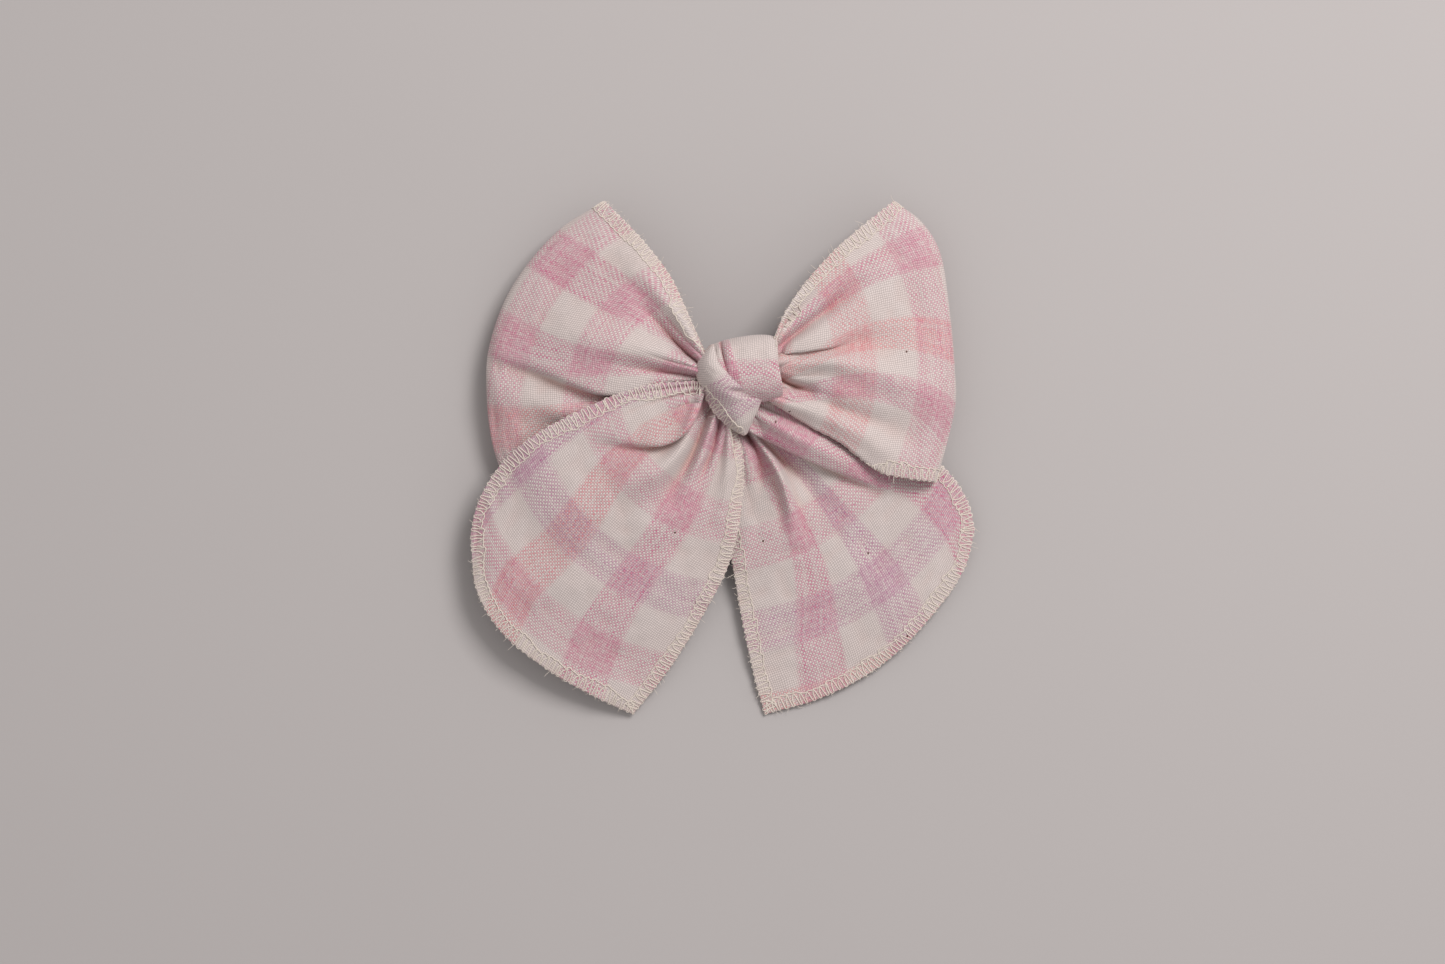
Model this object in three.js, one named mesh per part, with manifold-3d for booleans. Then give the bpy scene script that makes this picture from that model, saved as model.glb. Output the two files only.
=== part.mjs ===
// Hand-tied fabric hair bow on a steel alligator clip.
// Millimetres. X runs to the right across the bow, Y runs up it, +Z comes out of its front.
// The clip's lower arm lies flat on z = 0, with the knot above the origin.
import * as THREE from 'three';
import Module from 'manifold-3d';
import { mergeVertices } from 'three/addons/utils/BufferGeometryUtils.js';

const wasm = await Module();
wasm.setup();

// ---------- driving dimensions ----------
const CLOTH = 0.9;          // thickness of the soft solids that stand for the cotton
const GAP = 0.3;            // air kept between neighbouring pieces
const THREAD = 0.9;         // diameter of the overlocked edge
const LOOP_RIM_ROUND = 3;   // radius of the soft fold at a loop's outer end

const ARM_T = 0.8;          // sheet steel of the clip
const ARM_W = 8;
const CLIP_TIP_X = -23;
const CLIP_END_X = 22.5;
const PIVOT = { x: 8, z: 3, pinR: 0.5, headR: 0.95, headT: 0.4, holeR: 0.85, earR: 1.4 };
const EAR_T = 0.7;
const EAR_GAP = 0.4;        // between an inner and an outer ear
const UPPER_TIP_Z = 2.35;   // underside of the upper arm at its tip
const UPPER_KNEE_Z = 4.75;  // and over the pivot
const UPPER_END_Z = 6.9;    // and at the thumb end
const KNEE_X = 9.5;
const TOOTH = { height: 0.45, half: 0.6, width: 5, first: 2.4, last: 8, count: 4 };
const WIRE = 0.6;           // spring wire
const COIL_R = 1.15;        // mean radius of the spring's turns
const COIL_TURNS = 3;
const COIL_PITCH = 0.95;
const LEG_END_X = 14.5;
const RIBBON_T = 0.45;
const RIBBON_W = 7.6;
const RIBBON_END_X = 4;
const RIBBON_UNDER_X = -14;
const PAD = { x0: -8, w: 7, top: 7.1 };

// ---------- materials ----------
const cotton = (color) => new THREE.MeshStandardMaterial({ color, roughness: 0.9, metalness: 0 });
const pinkPlaid = cotton(0xd9a9b0);
const knotPlaid = cotton(0xdcb9bb);
const creamThread = cotton(0xe8dccf);
const creamRibbon = cotton(0xe9e0d4);
const steel = new THREE.MeshStandardMaterial({ color: 0xb9bbbd, roughness: 0.3, metalness: 1 });
const springSteel = new THREE.MeshStandardMaterial({ color: 0x9fa2a5, roughness: 0.35, metalness: 1 });
const glue = new THREE.MeshStandardMaterial({ color: 0xe6e2d6, roughness: 0.4, metalness: 0 });

const bow = new THREE.Group();

function add(name, geometry, material, parent = bow) {
  const mesh = new THREE.Mesh(geometry, material);
  mesh.name = name;
  parent.add(mesh);
  return mesh;
}

// ---------- solids ----------
function toManifold(geometry) {
  const bare = geometry.clone();
  bare.deleteAttribute('normal');
  bare.deleteAttribute('uv');
  const merged = mergeVertices(bare, 1e-4);
  return new wasm.Manifold(new wasm.Mesh({
    numProp: 3,
    vertProperties: new Float32Array(merged.attributes.position.array),
    triVerts: new Uint32Array(merged.index.array),
  }));
}

function fromManifold(solid) {
  const mesh = solid.getMesh();
  const geometry = new THREE.BufferGeometry();
  geometry.setAttribute('position', new THREE.BufferAttribute(mesh.vertProperties, 3));
  geometry.setIndex(new THREE.BufferAttribute(mesh.triVerts, 1));
  geometry.computeVertexNormals();
  return geometry;
}

const join = (pieces) => fromManifold(pieces.map(toManifold).reduce((a, b) => a.add(b)));

// A side view in (x, z) extruded across the clip, centred on y.
function acrossClip(shape, width, y = 0, curveSegments = 8) {
  const geometry = new THREE.ExtrudeGeometry(shape, { depth: width, bevelEnabled: false, curveSegments });
  geometry.rotateX(Math.PI / 2);
  geometry.translate(0, y + width / 2, 0);
  return geometry;
}

// A plan view in (x, y) extruded up from z0.
function upFrom(shape, z0, height, curveSegments = 8) {
  const geometry = new THREE.ExtrudeGeometry(shape, { depth: height, bevelEnabled: false, curveSegments });
  geometry.translate(0, 0, z0);
  return geometry;
}

const polygon = (points) => new THREE.Shape(points.map(([x, y]) => new THREE.Vector2(x, y)));

function tube(points, diameter, steps, sides = 6) {
  const section = new THREE.Shape();
  section.absarc(0, 0, diameter / 2, 0, 2 * Math.PI, false);
  const path = new THREE.CatmullRomCurve3(points, false, 'centripetal');
  return new THREE.ExtrudeGeometry(section, { steps, extrudePath: path, curveSegments: sides / 2 });
}

// ---------- cloth ----------
const curveThrough = (points) =>
  new THREE.CatmullRomCurve3(points.map((p) => new THREE.Vector3(...p)), false, 'centripetal');

// A fan of cloth between two side edges and an outer rim. s runs from the knot to the rim,
// t from edge A to edge B.
function fan({ edgeA, edgeB, rim, crown = 0 }) {
  const a = curveThrough(edgeA);
  const b = curveThrough(edgeB);
  const outer = curveThrough(rim);
  const corner = [a.getPointAt(0), b.getPointAt(0), a.getPointAt(1), b.getPointAt(1)];
  return (s, t) => {
    const p = a.getPointAt(s).multiplyScalar(1 - t).addScaledVector(b.getPointAt(s), t);
    p.addScaledVector(outer.getPointAt(t), s);
    p.addScaledVector(corner[2], -s * (1 - t)).addScaledVector(corner[3], -s * t);
    p.z += crown * Math.sin(Math.PI * s) * Math.sin(Math.PI * t);
    return p;
  };
}

// A loop: the fan's surface is its middle, with a layer of cloth in front and one behind,
// joined by a soft fold at the rim. q runs -1 (front root) to 0 (rim) to 1 (back root).
function loopOf({ rootGap, rimGap, frontPuff, backPuff, ...shape }) {
  const middle = fan(shape);
  const length = middle(0, 0.5).distanceTo(middle(1, 0.5));
  const roundFrom = 1 - LOOP_RIM_ROUND / length;
  return (q, t) => {
    const s = Math.sin((1 - Math.abs(q)) * Math.PI / 2);
    const p = middle(s, t);
    const puff = (q < 0 ? frontPuff : backPuff) * Math.sin(Math.PI * s) * Math.sin(Math.PI * t);
    const turn = Math.max(0, (s - roundFrom) / (1 - roundFrom));
    const halfGap = (rootGap + (rimGap - rootGap) * s + puff) * Math.sqrt(Math.max(0, 1 - turn * turn));
    p.z += q < 0 ? halfGap : -halfGap;
    return p;
  };
}

function normalAt(surface, s, t, sRange) {
  const step = 0.004;
  const along = surface(Math.min(s + step, sRange[1]), t).sub(surface(Math.max(s - step, sRange[0]), t));
  const across = surface(s, Math.min(t + step, 1)).sub(surface(s, Math.max(t - step, 0)));
  return along.cross(across).normalize();
}

// A closed sheet of even thickness round a surface.
function sheet(surface, sSteps, tSteps, sRange = [0, 1], thickness = CLOTH) {
  const positions = [];
  const index = [];
  const rows = sSteps + 1;
  const cols = tSteps + 1;
  for (const side of [0.5, -0.5]) {
    for (let i = 0; i < rows; i += 1) {
      const s = sRange[0] + (sRange[1] - sRange[0]) * i / sSteps;
      for (let j = 0; j < cols; j += 1) {
        const t = j / tSteps;
        const p = surface(s, t).addScaledVector(normalAt(surface, s, t, sRange), side * thickness);
        positions.push(p.x, p.y, p.z);
      }
    }
  }
  const layer = rows * cols;
  const quad = (a, b, c, d) => index.push(a, b, c, a, c, d);
  for (let i = 0; i < sSteps; i += 1) {
    for (let j = 0; j < tSteps; j += 1) {
      const a = i * cols + j;
      quad(a, a + cols, a + cols + 1, a + 1);
      quad(layer + a, layer + a + 1, layer + a + cols + 1, layer + a + cols);
    }
  }
  for (let i = 0; i < sSteps; i += 1) {
    const a = i * cols;
    const b = a + tSteps;
    quad(a, layer + a, layer + a + cols, a + cols);
    quad(b, b + cols, layer + b + cols, layer + b);
  }
  for (let j = 0; j < tSteps; j += 1) {
    const b = sSteps * cols + j;
    quad(j, j + 1, layer + j + 1, layer + j);
    quad(b, layer + b, layer + b + 1, b + 1);
  }
  const geometry = new THREE.BufferGeometry();
  geometry.setAttribute('position', new THREE.BufferAttribute(new Float32Array(positions), 3));
  geometry.setIndex(index);
  geometry.computeVertexNormals();
  return geometry;
}

// The line that an edge thread follows: beside a run of points on the cloth's cut edge, just
// clear of the cloth. up is the side of the cloth that faces the viewer.
function besideEdge(edge, up) {
  const clear = THREAD / 2 + GAP;
  return edge.map((point, i) => {
    const before = edge[Math.max(i - 1, 0)];
    const after = edge[Math.min(i + 1, edge.length - 1)];
    const sides = [[before, point], [point, after]].filter(([a, b]) => a !== b)
      .map(([a, b]) => b.clone().sub(a).normalize().cross(up[i]).normalize());
    const out = sides[0].clone().add(sides.at(-1)).normalize();
    return point.clone().addScaledVector(out, clear / out.dot(sides[0]));
  });
}

const spread = (from, to, count) =>
  Array.from({ length: count }, (_, i) => from + (to - from) * i / (count - 1));

// ---------- left and right loops ----------
const loops = {
  left: loopOf({
    edgeA: [[-6.6, 6, 12], [-9.8, 13.4, 11.8], [-13.4, 21.2, 11], [-19, 28.6, 9], [-26.6, 36.6, 6.5]],
    edgeB: [[-6.6, -1.4, 9.4], [-20, -8, 7.4], [-34, -14.5, 5.6], [-46.5, -20, 4]],
    rim: [[-26.6, 36.6, 6.5], [-36, 30.6, 6], [-45.4, 19, 5.5], [-49.8, 7, 5], [-50.2, -1, 5],
      [-49.2, -11, 4.5], [-46.5, -20, 4]],
    rootGap: 1.1, rimGap: 1.8, frontPuff: 3, backPuff: 1.6,
  }),
  right: loopOf({
    edgeA: [[6.8, 7.6, 12.4], [9.6, 14.6, 12], [18.6, 26, 10], [31, 36.6, 6.5]],
    edgeB: [[6.8, -2.2, 11.6], [18.4, -6, 10.8], [26.4, -11, 9.4], [33.4, -16.6, 7.8], [39.4, -19.4, 6.4]],
    rim: [[31, 36.6, 6.5], [36.4, 32.6, 6.5], [40, 27, 6.4], [42, 16, 6.2], [43.2, 3, 6.2],
      [43.4, -3, 6.2], [41.8, -11, 6.2], [39.4, -19.4, 6.4]],
    rootGap: 1.1, rimGap: 2, frontPuff: 3, backPuff: 0,
  }),
};
for (const [side, surface] of Object.entries(loops)) {
  const facing = side === 'left' ? surface : (q, t) => surface(q, 1 - t);
  add(`${side}_loop`, sheet(facing, 26, 9, [-1, 1]), pinkPlaid);
  const turns = spread(-0.97, 0.97, 21);
  for (const [name, t] of [['top', 0], ['bottom', 1]]) {
    const order = (side === 'left') === (t === 0) ? turns : [...turns].reverse();
    const edge = order.map((q) => surface(q, t));
    const up = order.map((q) => normalAt(facing, q, side === 'left' ? t : 1 - t, [-1, 1]));
    add(`${side}_loop_${name}_thread`, tube(besideEdge(edge, up), THREAD, 32), creamThread);
  }
}

// ---------- tails ----------
const tails = {
  left: fan({
    edgeA: [[-7.4, 0.6, 12.8], [-19.6, -0.6, 13.4], [-31.6, -5.4, 12.4], [-41.6, -11, 10.8],
      [-47.8, -16.6, 8.8], [-52, -24, 6.6], [-53.4, -30, 6]],
    edgeB: [[-1.6, -7.2, 11.6], [0.8, -13, 10.4], [0.8, -23, 8.4], [-1.6, -35, 6.4], [-7.6, -47, 4],
      [-14.6, -58, 2.2], [-21.2, -66.2, 0.5]],
    rim: [[-53.4, -30, 6], [-52.2, -41, 4.8], [-47.6, -49, 3.8], [-38.6, -56.6, 2.2], [-29.6, -62, 1.2],
      [-21.2, -66.2, 0.5]],
    crown: 1.6,
  }),
  right: fan({
    edgeA: [[-2.4, -7.8, 8.8], [-3.6, -22, 6], [-1.2, -35.4, 3.8], [0.8, -47, 2.6], [3.4, -59, 1.4],
      [5.4, -66.2, 0.5]],
    edgeB: [[5, -6.4, 8.8], [16, -8.6, 6.6], [29, -12, 4.6], [40.4, -16.6, 3], [46, -23, 2.4],
      [47.6, -29, 2.2]],
    rim: [[5.4, -66.2, 0.5], [16.4, -63, 1], [28.4, -56.6, 1.6], [38.4, -47, 2], [45.4, -37, 2.2],
      [47.6, -29, 2.2]],
    crown: 0.8,
  }),
};
for (const [side, surface] of Object.entries(tails)) {
  const facing = (s, t) => surface(s, side === 'left' ? t : 1 - t);
  add(`${side}_tail`, sheet(facing, 13, 10), pinkPlaid);
  const outline = [
    ...spread(0.06, 0.97, 14).map((s) => [s, 0]),
    ...spread(0, 1, 16).map((t) => [1, t]),
    ...spread(0.97, 0.06, 14).map((s) => [s, 1]),
  ];
  const edge = outline.map(([s, t]) => facing(s, t));
  const up = outline.map(([s, t]) => normalAt(facing, s, t, [0, 1]));
  const line = besideEdge(edge, up);
  for (const p of line) {
    p.z = Math.max(p.z, THREAD / 2);
  }
  add(`${side}_tail_edge_thread`, tube(line, THREAD, 60), creamThread);
}

// ---------- knot ----------
const KNOT = { x0: -4.6, x1: 6.2, y0: -2.4, y1: 9.8, z0: 7.5, z1: 17.4, round: 3.6 };

// A rounded rectangle in (y, z), as a shape or a hole.
function roundedRing(target, inset) {
  const y0 = KNOT.y0 + inset;
  const y1 = KNOT.y1 - inset;
  const z0 = KNOT.z0 + inset;
  const z1 = KNOT.z1 - inset;
  const r = KNOT.round - inset;
  target.moveTo(y0 + r, z0);
  target.lineTo(y1 - r, z0);
  target.absarc(y1 - r, z0 + r, r, -Math.PI / 2, 0, false);
  target.absarc(y1 - r, z1 - r, r, 0, Math.PI / 2, false);
  target.absarc(y0 + r, z1 - r, r, Math.PI / 2, Math.PI, false);
  target.absarc(y0 + r, z0 + r, r, Math.PI, 1.5 * Math.PI, false);
  return target;
}

// A section in (y, z) extruded along x.
function alongBow(shape, x0, x1) {
  const geometry = new THREE.ExtrudeGeometry(shape, {
    depth: x1 - x0, bevelEnabled: false, curveSegments: 5,
  });
  geometry.rotateX(Math.PI / 2);
  geometry.rotateZ(Math.PI / 2);
  geometry.translate(x0, 0, 0);
  return geometry;
}

const wrapShape = roundedRing(new THREE.Shape(), 0);
wrapShape.holes.push(roundedRing(new THREE.Path(), CLOTH));
add('knot_wrap', alongBow(wrapShape, KNOT.x0, KNOT.x1), knotPlaid);
const coreShape = roundedRing(new THREE.Shape(), CLOTH + GAP);
add('knot_core', alongBow(coreShape, KNOT.x0 + 0.4, KNOT.x1 - 0.4), knotPlaid);

// The wrap's end crosses the knot's front and is tucked in at its lower tip.
const tuck = fan({
  edgeA: [[-7.4, 5.4, 17.6], [-7.2, 0, 18.2], [-4.6, -4.6, 17], [-0.4, -8.6, 13.6]],
  edgeB: [[-3.4, 8.6, 18.4], [0.4, 4.2, 18.8], [3, -1.6, 18.4], [2.4, -8.2, 13.8]],
  rim: [[-0.4, -8.6, 13.6], [2.4, -8.2, 13.8]],
});
const tuckFront = (s, t) => tuck(s, t);
add('knot_tuck', sheet(tuckFront, 8, 6), knotPlaid);
const tuckSteps = spread(0.05, 0.97, 8);
add('knot_tuck_thread', tube(besideEdge(
  tuckSteps.map((s) => tuckFront(s, 0)),
  tuckSteps.map((s) => normalAt(tuckFront, s, 0, [0, 1])),
), THREAD, 14), creamThread);

// ---------- clip ----------
// A strip seen from above, with a round tip and rounded corners at its other end.
function planBlank(tip, end, width) {
  const half = width / 2;
  const shape = new THREE.Shape();
  shape.moveTo(end - half / 2, -half);
  shape.absarc(end - half / 2, -half / 2, half / 2, -Math.PI / 2, 0, false);
  shape.absarc(end - half / 2, half / 2, half / 2, 0, Math.PI / 2, false);
  shape.absarc(tip + half, 0, half, Math.PI / 2, 1.5 * Math.PI, false);
  return shape;
}

const trimmed = (side, plan, width) =>
  toManifold(acrossClip(side, width)).intersect(toManifold(upFrom(plan, -1, 12)));

function ear(y, towards) {
  const shape = new THREE.Shape();
  const { x, z, earR } = PIVOT;
  if (towards < 0) {
    shape.moveTo(x - earR, ARM_T / 2);
    shape.lineTo(x + earR, ARM_T / 2);
    shape.absarc(x, z, earR, 0, Math.PI, false);
  } else {
    shape.moveTo(x + earR, UPPER_KNEE_Z + ARM_T / 2);
    shape.lineTo(x - earR, UPPER_KNEE_Z + ARM_T / 2);
    shape.absarc(x, z, earR, Math.PI, 2 * Math.PI, false);
  }
  const hole = new THREE.Path();
  hole.absarc(x, z, PIVOT.holeR, 0, 2 * Math.PI, true);
  shape.holes.push(hole);
  return acrossClip(shape, EAR_T, y, 10);
}

const lowerEarY = ARM_W / 2 - EAR_T / 2;
const upperEarY = lowerEarY - EAR_T - EAR_GAP;
const tooth = (x) => polygon([
  [x - TOOTH.half, ARM_T / 2], [x + TOOTH.half, ARM_T / 2], [x, ARM_T + TOOTH.height],
]);
const teeth = spread(CLIP_TIP_X + TOOTH.first, CLIP_TIP_X + TOOTH.last, TOOTH.count)
  .map((x) => acrossClip(tooth(x), TOOTH.width));
add('clip_lower_arm', join([
  upFrom(planBlank(CLIP_TIP_X, CLIP_END_X - 0.5, ARM_W), 0, ARM_T),
  ear(lowerEarY, -1),
  ear(-lowerEarY, -1),
  ...teeth,
]), steel);

const upperZ = (x) => UPPER_TIP_Z + (UPPER_KNEE_Z - UPPER_TIP_Z) * (x - CLIP_TIP_X) / (KNEE_X - CLIP_TIP_X);
const upperSide = polygon([
  [CLIP_TIP_X, UPPER_TIP_Z], [KNEE_X, UPPER_KNEE_Z], [CLIP_END_X, UPPER_END_Z],
  [CLIP_END_X, UPPER_END_Z + ARM_T], [KNEE_X, UPPER_KNEE_Z + ARM_T], [CLIP_TIP_X, UPPER_TIP_Z + ARM_T],
]);
const upperBlank = trimmed(upperSide, planBlank(CLIP_TIP_X, CLIP_END_X, ARM_W), ARM_W);
const upperArm = [ear(upperEarY, 1), ear(-upperEarY, 1)].map(toManifold)
  .reduce((a, b) => a.add(b), upperBlank);
add('clip_upper_arm', fromManifold(upperArm), steel);

const shank = ARM_W / 2 + GAP;
const pinEnd = shank + PIVOT.headT;
const pinProfile = [
  [0, -pinEnd], [PIVOT.headR, -pinEnd], [PIVOT.headR, -shank], [PIVOT.pinR, -shank],
  [PIVOT.pinR, shank], [PIVOT.headR, shank], [PIVOT.headR, pinEnd], [0, pinEnd],
].map(([r, y]) => new THREE.Vector2(r, y));
const pin = add('clip_pivot_pin', new THREE.LatheGeometry(pinProfile, 16), steel);
pin.position.set(PIVOT.x, 0, PIVOT.z);

// The torsion spring: its turns and upper leg stay with the upper arm, its lower leg follows the lower arm.
const coilHalf = COIL_TURNS * COIL_PITCH / 2;
const coil = spread(0, COIL_TURNS + 0.5, 15 * COIL_TURNS).map((turn) => {
  const angle = 1.5 * Math.PI - turn * 2 * Math.PI;
  return new THREE.Vector3(
    PIVOT.x + COIL_R * Math.cos(angle),
    -coilHalf + turn * COIL_PITCH * COIL_TURNS / (COIL_TURNS + 0.5),
    PIVOT.z + COIL_R * Math.sin(angle),
  );
});
const legY = coilHalf;
const upperLegZ = UPPER_KNEE_Z + (UPPER_END_Z - UPPER_KNEE_Z) * (LEG_END_X - KNEE_X) / (CLIP_END_X - KNEE_X);
coil.push(
  new THREE.Vector3(PIVOT.x + 2.2, legY, PIVOT.z + COIL_R + 0.15),
  new THREE.Vector3(LEG_END_X, legY, upperLegZ - WIRE / 2 - GAP),
);
add('clip_spring', tube(coil, WIRE, 72, 8), springSteel);
add('clip_spring_lower_leg', tube([
  new THREE.Vector3(PIVOT.x + 0.75, -coilHalf, PIVOT.z - COIL_R),
  new THREE.Vector3(PIVOT.x + 3, -coilHalf, PIVOT.z - COIL_R - 0.2),
  new THREE.Vector3(LEG_END_X, -coilHalf, ARM_T + GAP + WIRE / 2),
], WIRE, 8, 8), springSteel);

// Ribbon lining: along the top of the upper arm, round its tip and back along the underside.
const ribbonTip = CLIP_TIP_X - GAP;
const ribbonTop = (x) => upperZ(x) + ARM_T + GAP;
const ribbonUnder = (x) => upperZ(x) - GAP;
const ribbonSide = polygon([
  [RIBBON_END_X, ribbonTop(RIBBON_END_X)],
  [RIBBON_END_X, ribbonTop(RIBBON_END_X) + RIBBON_T],
  [ribbonTip, ribbonTop(ribbonTip) + RIBBON_T],
  [ribbonTip - RIBBON_T, ribbonTop(ribbonTip)],
  [ribbonTip - RIBBON_T, ribbonUnder(ribbonTip)],
  [ribbonTip, ribbonUnder(ribbonTip) - RIBBON_T],
  [RIBBON_UNDER_X, ribbonUnder(RIBBON_UNDER_X) - RIBBON_T],
  [RIBBON_UNDER_X, ribbonUnder(RIBBON_UNDER_X)],
  [ribbonTip, ribbonUnder(ribbonTip)],
  [ribbonTip, ribbonTop(ribbonTip)],
]);
const ribbonPlan = planBlank(ribbonTip - RIBBON_T, RIBBON_END_X + RIBBON_W / 4, RIBBON_W);
add('clip_ribbon', fromManifold(trimmed(ribbonSide, ribbonPlan, RIBBON_W)), creamRibbon);

const padZ = (x) => ribbonTop(x) + RIBBON_T + GAP;
add('glue_pad', acrossClip(polygon([
  [PAD.x0, padZ(PAD.x0)], [RIBBON_END_X, padZ(RIBBON_END_X)], [RIBBON_END_X, PAD.top], [PAD.x0, PAD.top],
]), PAD.w), glue);

export default bow;
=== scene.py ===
import math

import bpy
import numpy as np
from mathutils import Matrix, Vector
from mathutils.bvhtree import BVHTree


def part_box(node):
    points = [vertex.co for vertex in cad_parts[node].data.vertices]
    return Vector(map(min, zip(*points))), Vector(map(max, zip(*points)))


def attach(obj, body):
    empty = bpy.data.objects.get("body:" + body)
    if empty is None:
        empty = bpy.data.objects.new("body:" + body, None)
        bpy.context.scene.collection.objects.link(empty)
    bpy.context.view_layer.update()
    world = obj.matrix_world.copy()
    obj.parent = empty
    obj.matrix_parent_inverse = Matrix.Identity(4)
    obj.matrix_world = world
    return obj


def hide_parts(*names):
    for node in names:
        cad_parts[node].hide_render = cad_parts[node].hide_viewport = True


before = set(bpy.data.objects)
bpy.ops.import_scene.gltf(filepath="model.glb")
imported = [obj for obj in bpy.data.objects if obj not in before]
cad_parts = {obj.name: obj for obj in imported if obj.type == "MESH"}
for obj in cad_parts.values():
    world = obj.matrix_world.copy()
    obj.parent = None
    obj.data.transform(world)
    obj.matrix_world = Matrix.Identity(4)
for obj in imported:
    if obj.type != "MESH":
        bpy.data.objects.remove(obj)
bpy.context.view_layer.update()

# Everything below is worked out in millimetres, in the part's own frame, and becomes metres in
# new_mesh. X runs across the bow, Y up it, and +Z comes out of its front.
MM = 0.001

# ---------- driving dimensions ----------
CLOTH_T = 0.36            # thickness of the cotton
WEAVE = 0.44              # from one thread of the weave to the next
LOOP_W = 58.0             # width of the strip in the loops
TAIL_W = 52.0             # and in the tails
STRIPE = 8.6              # width of a dyed stripe
RIM_ROUND = 3.0           # radius of the soft fold at a loop's outer end
KNOT_SWELL = 2.2          # how far a loop's front layer swells as it leaves the knot
ROLL_R = 0.5              # radius of a loop's edge where it rolls under
STITCH_PITCH = 1.45       # overlock stitches along an edge
STITCH_W = 2.6            # width of the overlocked band
YARN = 0.23               # diameter of the overlock thread
LINING_T = 0.4            # thickness of the clip's ribbon
LINING_RIB = 0.8          # from one rib of the ribbon to the next

# ---------- fineness ----------
SPAN_STEPS = 40           # steps between two given points of a curve
LOOP_GRID = (130, 190)    # rows from knot to rim, and columns across
TAIL_GRID = (190, 170)
BAND_GRID = (170, 90)
TUCK_GRID = (130, 80)
ROOT_ROWS = 6             # rows of cloth that run on into the knot
SEAM_STEP = 0.2           # from one worked-out place of an edge to the next


# ---------- curves and grids ----------
def smooth(x):
    """A soft rise from 0 to 1 as x goes from 0 to 1."""
    x = np.clip(x, 0, 1)
    return x * x * (3 - 2 * x)


def unit(vectors):
    """Rows of vectors, each made one long."""
    return vectors / np.linalg.norm(vectors, axis=1)[:, None]


def lengths_along(line):
    """The distance walked to each place of a line."""
    return np.concatenate([[0], np.cumsum(np.linalg.norm(np.diff(line, axis=0), axis=1))])


def resample(table, run, places):
    """Rows of a table that belong to the distances in run, read at other places."""
    return np.stack([np.interp(places, run, table[:, c]) for c in range(table.shape[1])], 1)


def curve(points, count=320):
    """A smooth curve through the points, as count places evenly spread along it."""
    knots = np.array(points, float)
    ends = np.vstack([2 * knots[0] - knots[1], knots, 2 * knots[-1] - knots[-2]])
    pieces = []
    for i in range(len(knots) - 1):
        p = ends[i:i + 4]
        k = np.concatenate([[0], np.cumsum(np.linalg.norm(np.diff(p, axis=0), axis=1) ** 0.5)])
        x = np.linspace(k[1], k[2], SPAN_STEPS)[:, None]
        a = [((k[j + 1] - x) * p[j] + (x - k[j]) * p[j + 1]) / (k[j + 1] - k[j]) for j in range(3)]
        b = [((k[j + 2] - x) * a[j] + (x - k[j]) * a[j + 1]) / (k[j + 2] - k[j]) for j in range(2)]
        pieces.append(((k[2] - x) * b[0] + (x - k[1]) * b[1]) / (k[2] - k[1]))
    line = np.vstack(pieces)
    run = lengths_along(line)
    return resample(line, run, np.linspace(0, run[-1], count))


def along(line, x):
    """Places at the fractions x of a curve's length."""
    f = np.clip(np.asarray(x, float), 0, 1) * (len(line) - 1)
    i = np.minimum(f.astype(int), len(line) - 2)
    w = (f - i)[..., None]
    return line[i] * (1 - w) + line[i + 1] * w


def fan(edge_a, edge_b, rim, s, t, crown):
    """A fan of cloth: rows s run from the knot to the rim, columns t from edge A to edge B."""
    a, b, outer = curve(edge_a), curve(edge_b), curve(rim)
    s_, t_ = s[:, None, None], t[None, :, None]
    side_a, side_b = along(a, s)[:, None, :], along(b, s)[:, None, :]
    root = a[0] * (1 - t_) + b[0] * t_
    end = along(outer, t)[None, :, :]
    grid = (1 - t_) * side_a + t_ * side_b + (1 - s_) * root + s_ * end
    grid = grid - (1 - s_) * root - s_ * ((1 - t_) * a[-1] + t_ * b[-1])
    grid[..., 2] += crown * np.outer(np.sin(np.pi * s), np.sin(np.pi * t))
    return grid


def arc(grid, axis):
    """Distance walked over the grid along one axis."""
    step = np.linalg.norm(np.diff(grid, axis=axis), axis=2)
    start = np.zeros_like(np.take(step, [0], axis))
    return np.concatenate([start, np.cumsum(step, axis)], axis)


def normals(grid):
    """The direction that the cloth faces at each place of the grid."""
    n = np.cross(np.gradient(grid, axis=0), np.gradient(grid, axis=1))
    return n / np.maximum(np.linalg.norm(n, axis=2), 1e-9)[..., None]


def soften(line, times):
    """A line of rows, averaged with its neighbours so many times, its two ends kept."""
    for _ in range(times):
        line = np.vstack([line[:1], (line[:-2] + 2 * line[1:-1] + line[2:]) / 4, line[-1:]])
    return line


def soften_grid(z, times):
    """The heights of a grid, averaged with their four neighbours so many times."""
    for _ in range(times):
        padded = np.pad(z, 1, mode="edge")
        z = (padded[:-2, 1:-1] + padded[2:, 1:-1] + padded[1:-1, :-2] + padded[1:-1, 2:] + 4 * z) / 8
    return z


def ripple(shape, cells, seed):
    """Smooth noise from -1 to 1 on a grid, with so many cells down and across."""
    draw = np.random.default_rng(seed)
    knots = draw.uniform(-1, 1, (cells[0] + 3, cells[1] + 3))
    out = np.zeros(shape)
    x = np.linspace(0, cells[0], shape[0])
    y = np.linspace(0, cells[1], shape[1])
    i, j = np.floor(x).astype(int), np.floor(y).astype(int)
    fx, fy = smooth(x - i)[:, None], smooth(y - j)[None, :]
    for di, wx in ((0, 1 - fx), (1, fx)):
        for dj, wy in ((0, 1 - fy), (1, fy)):
            out += knots[np.ix_(i + di, j + dj)] * wx * wy
    return out


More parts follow.
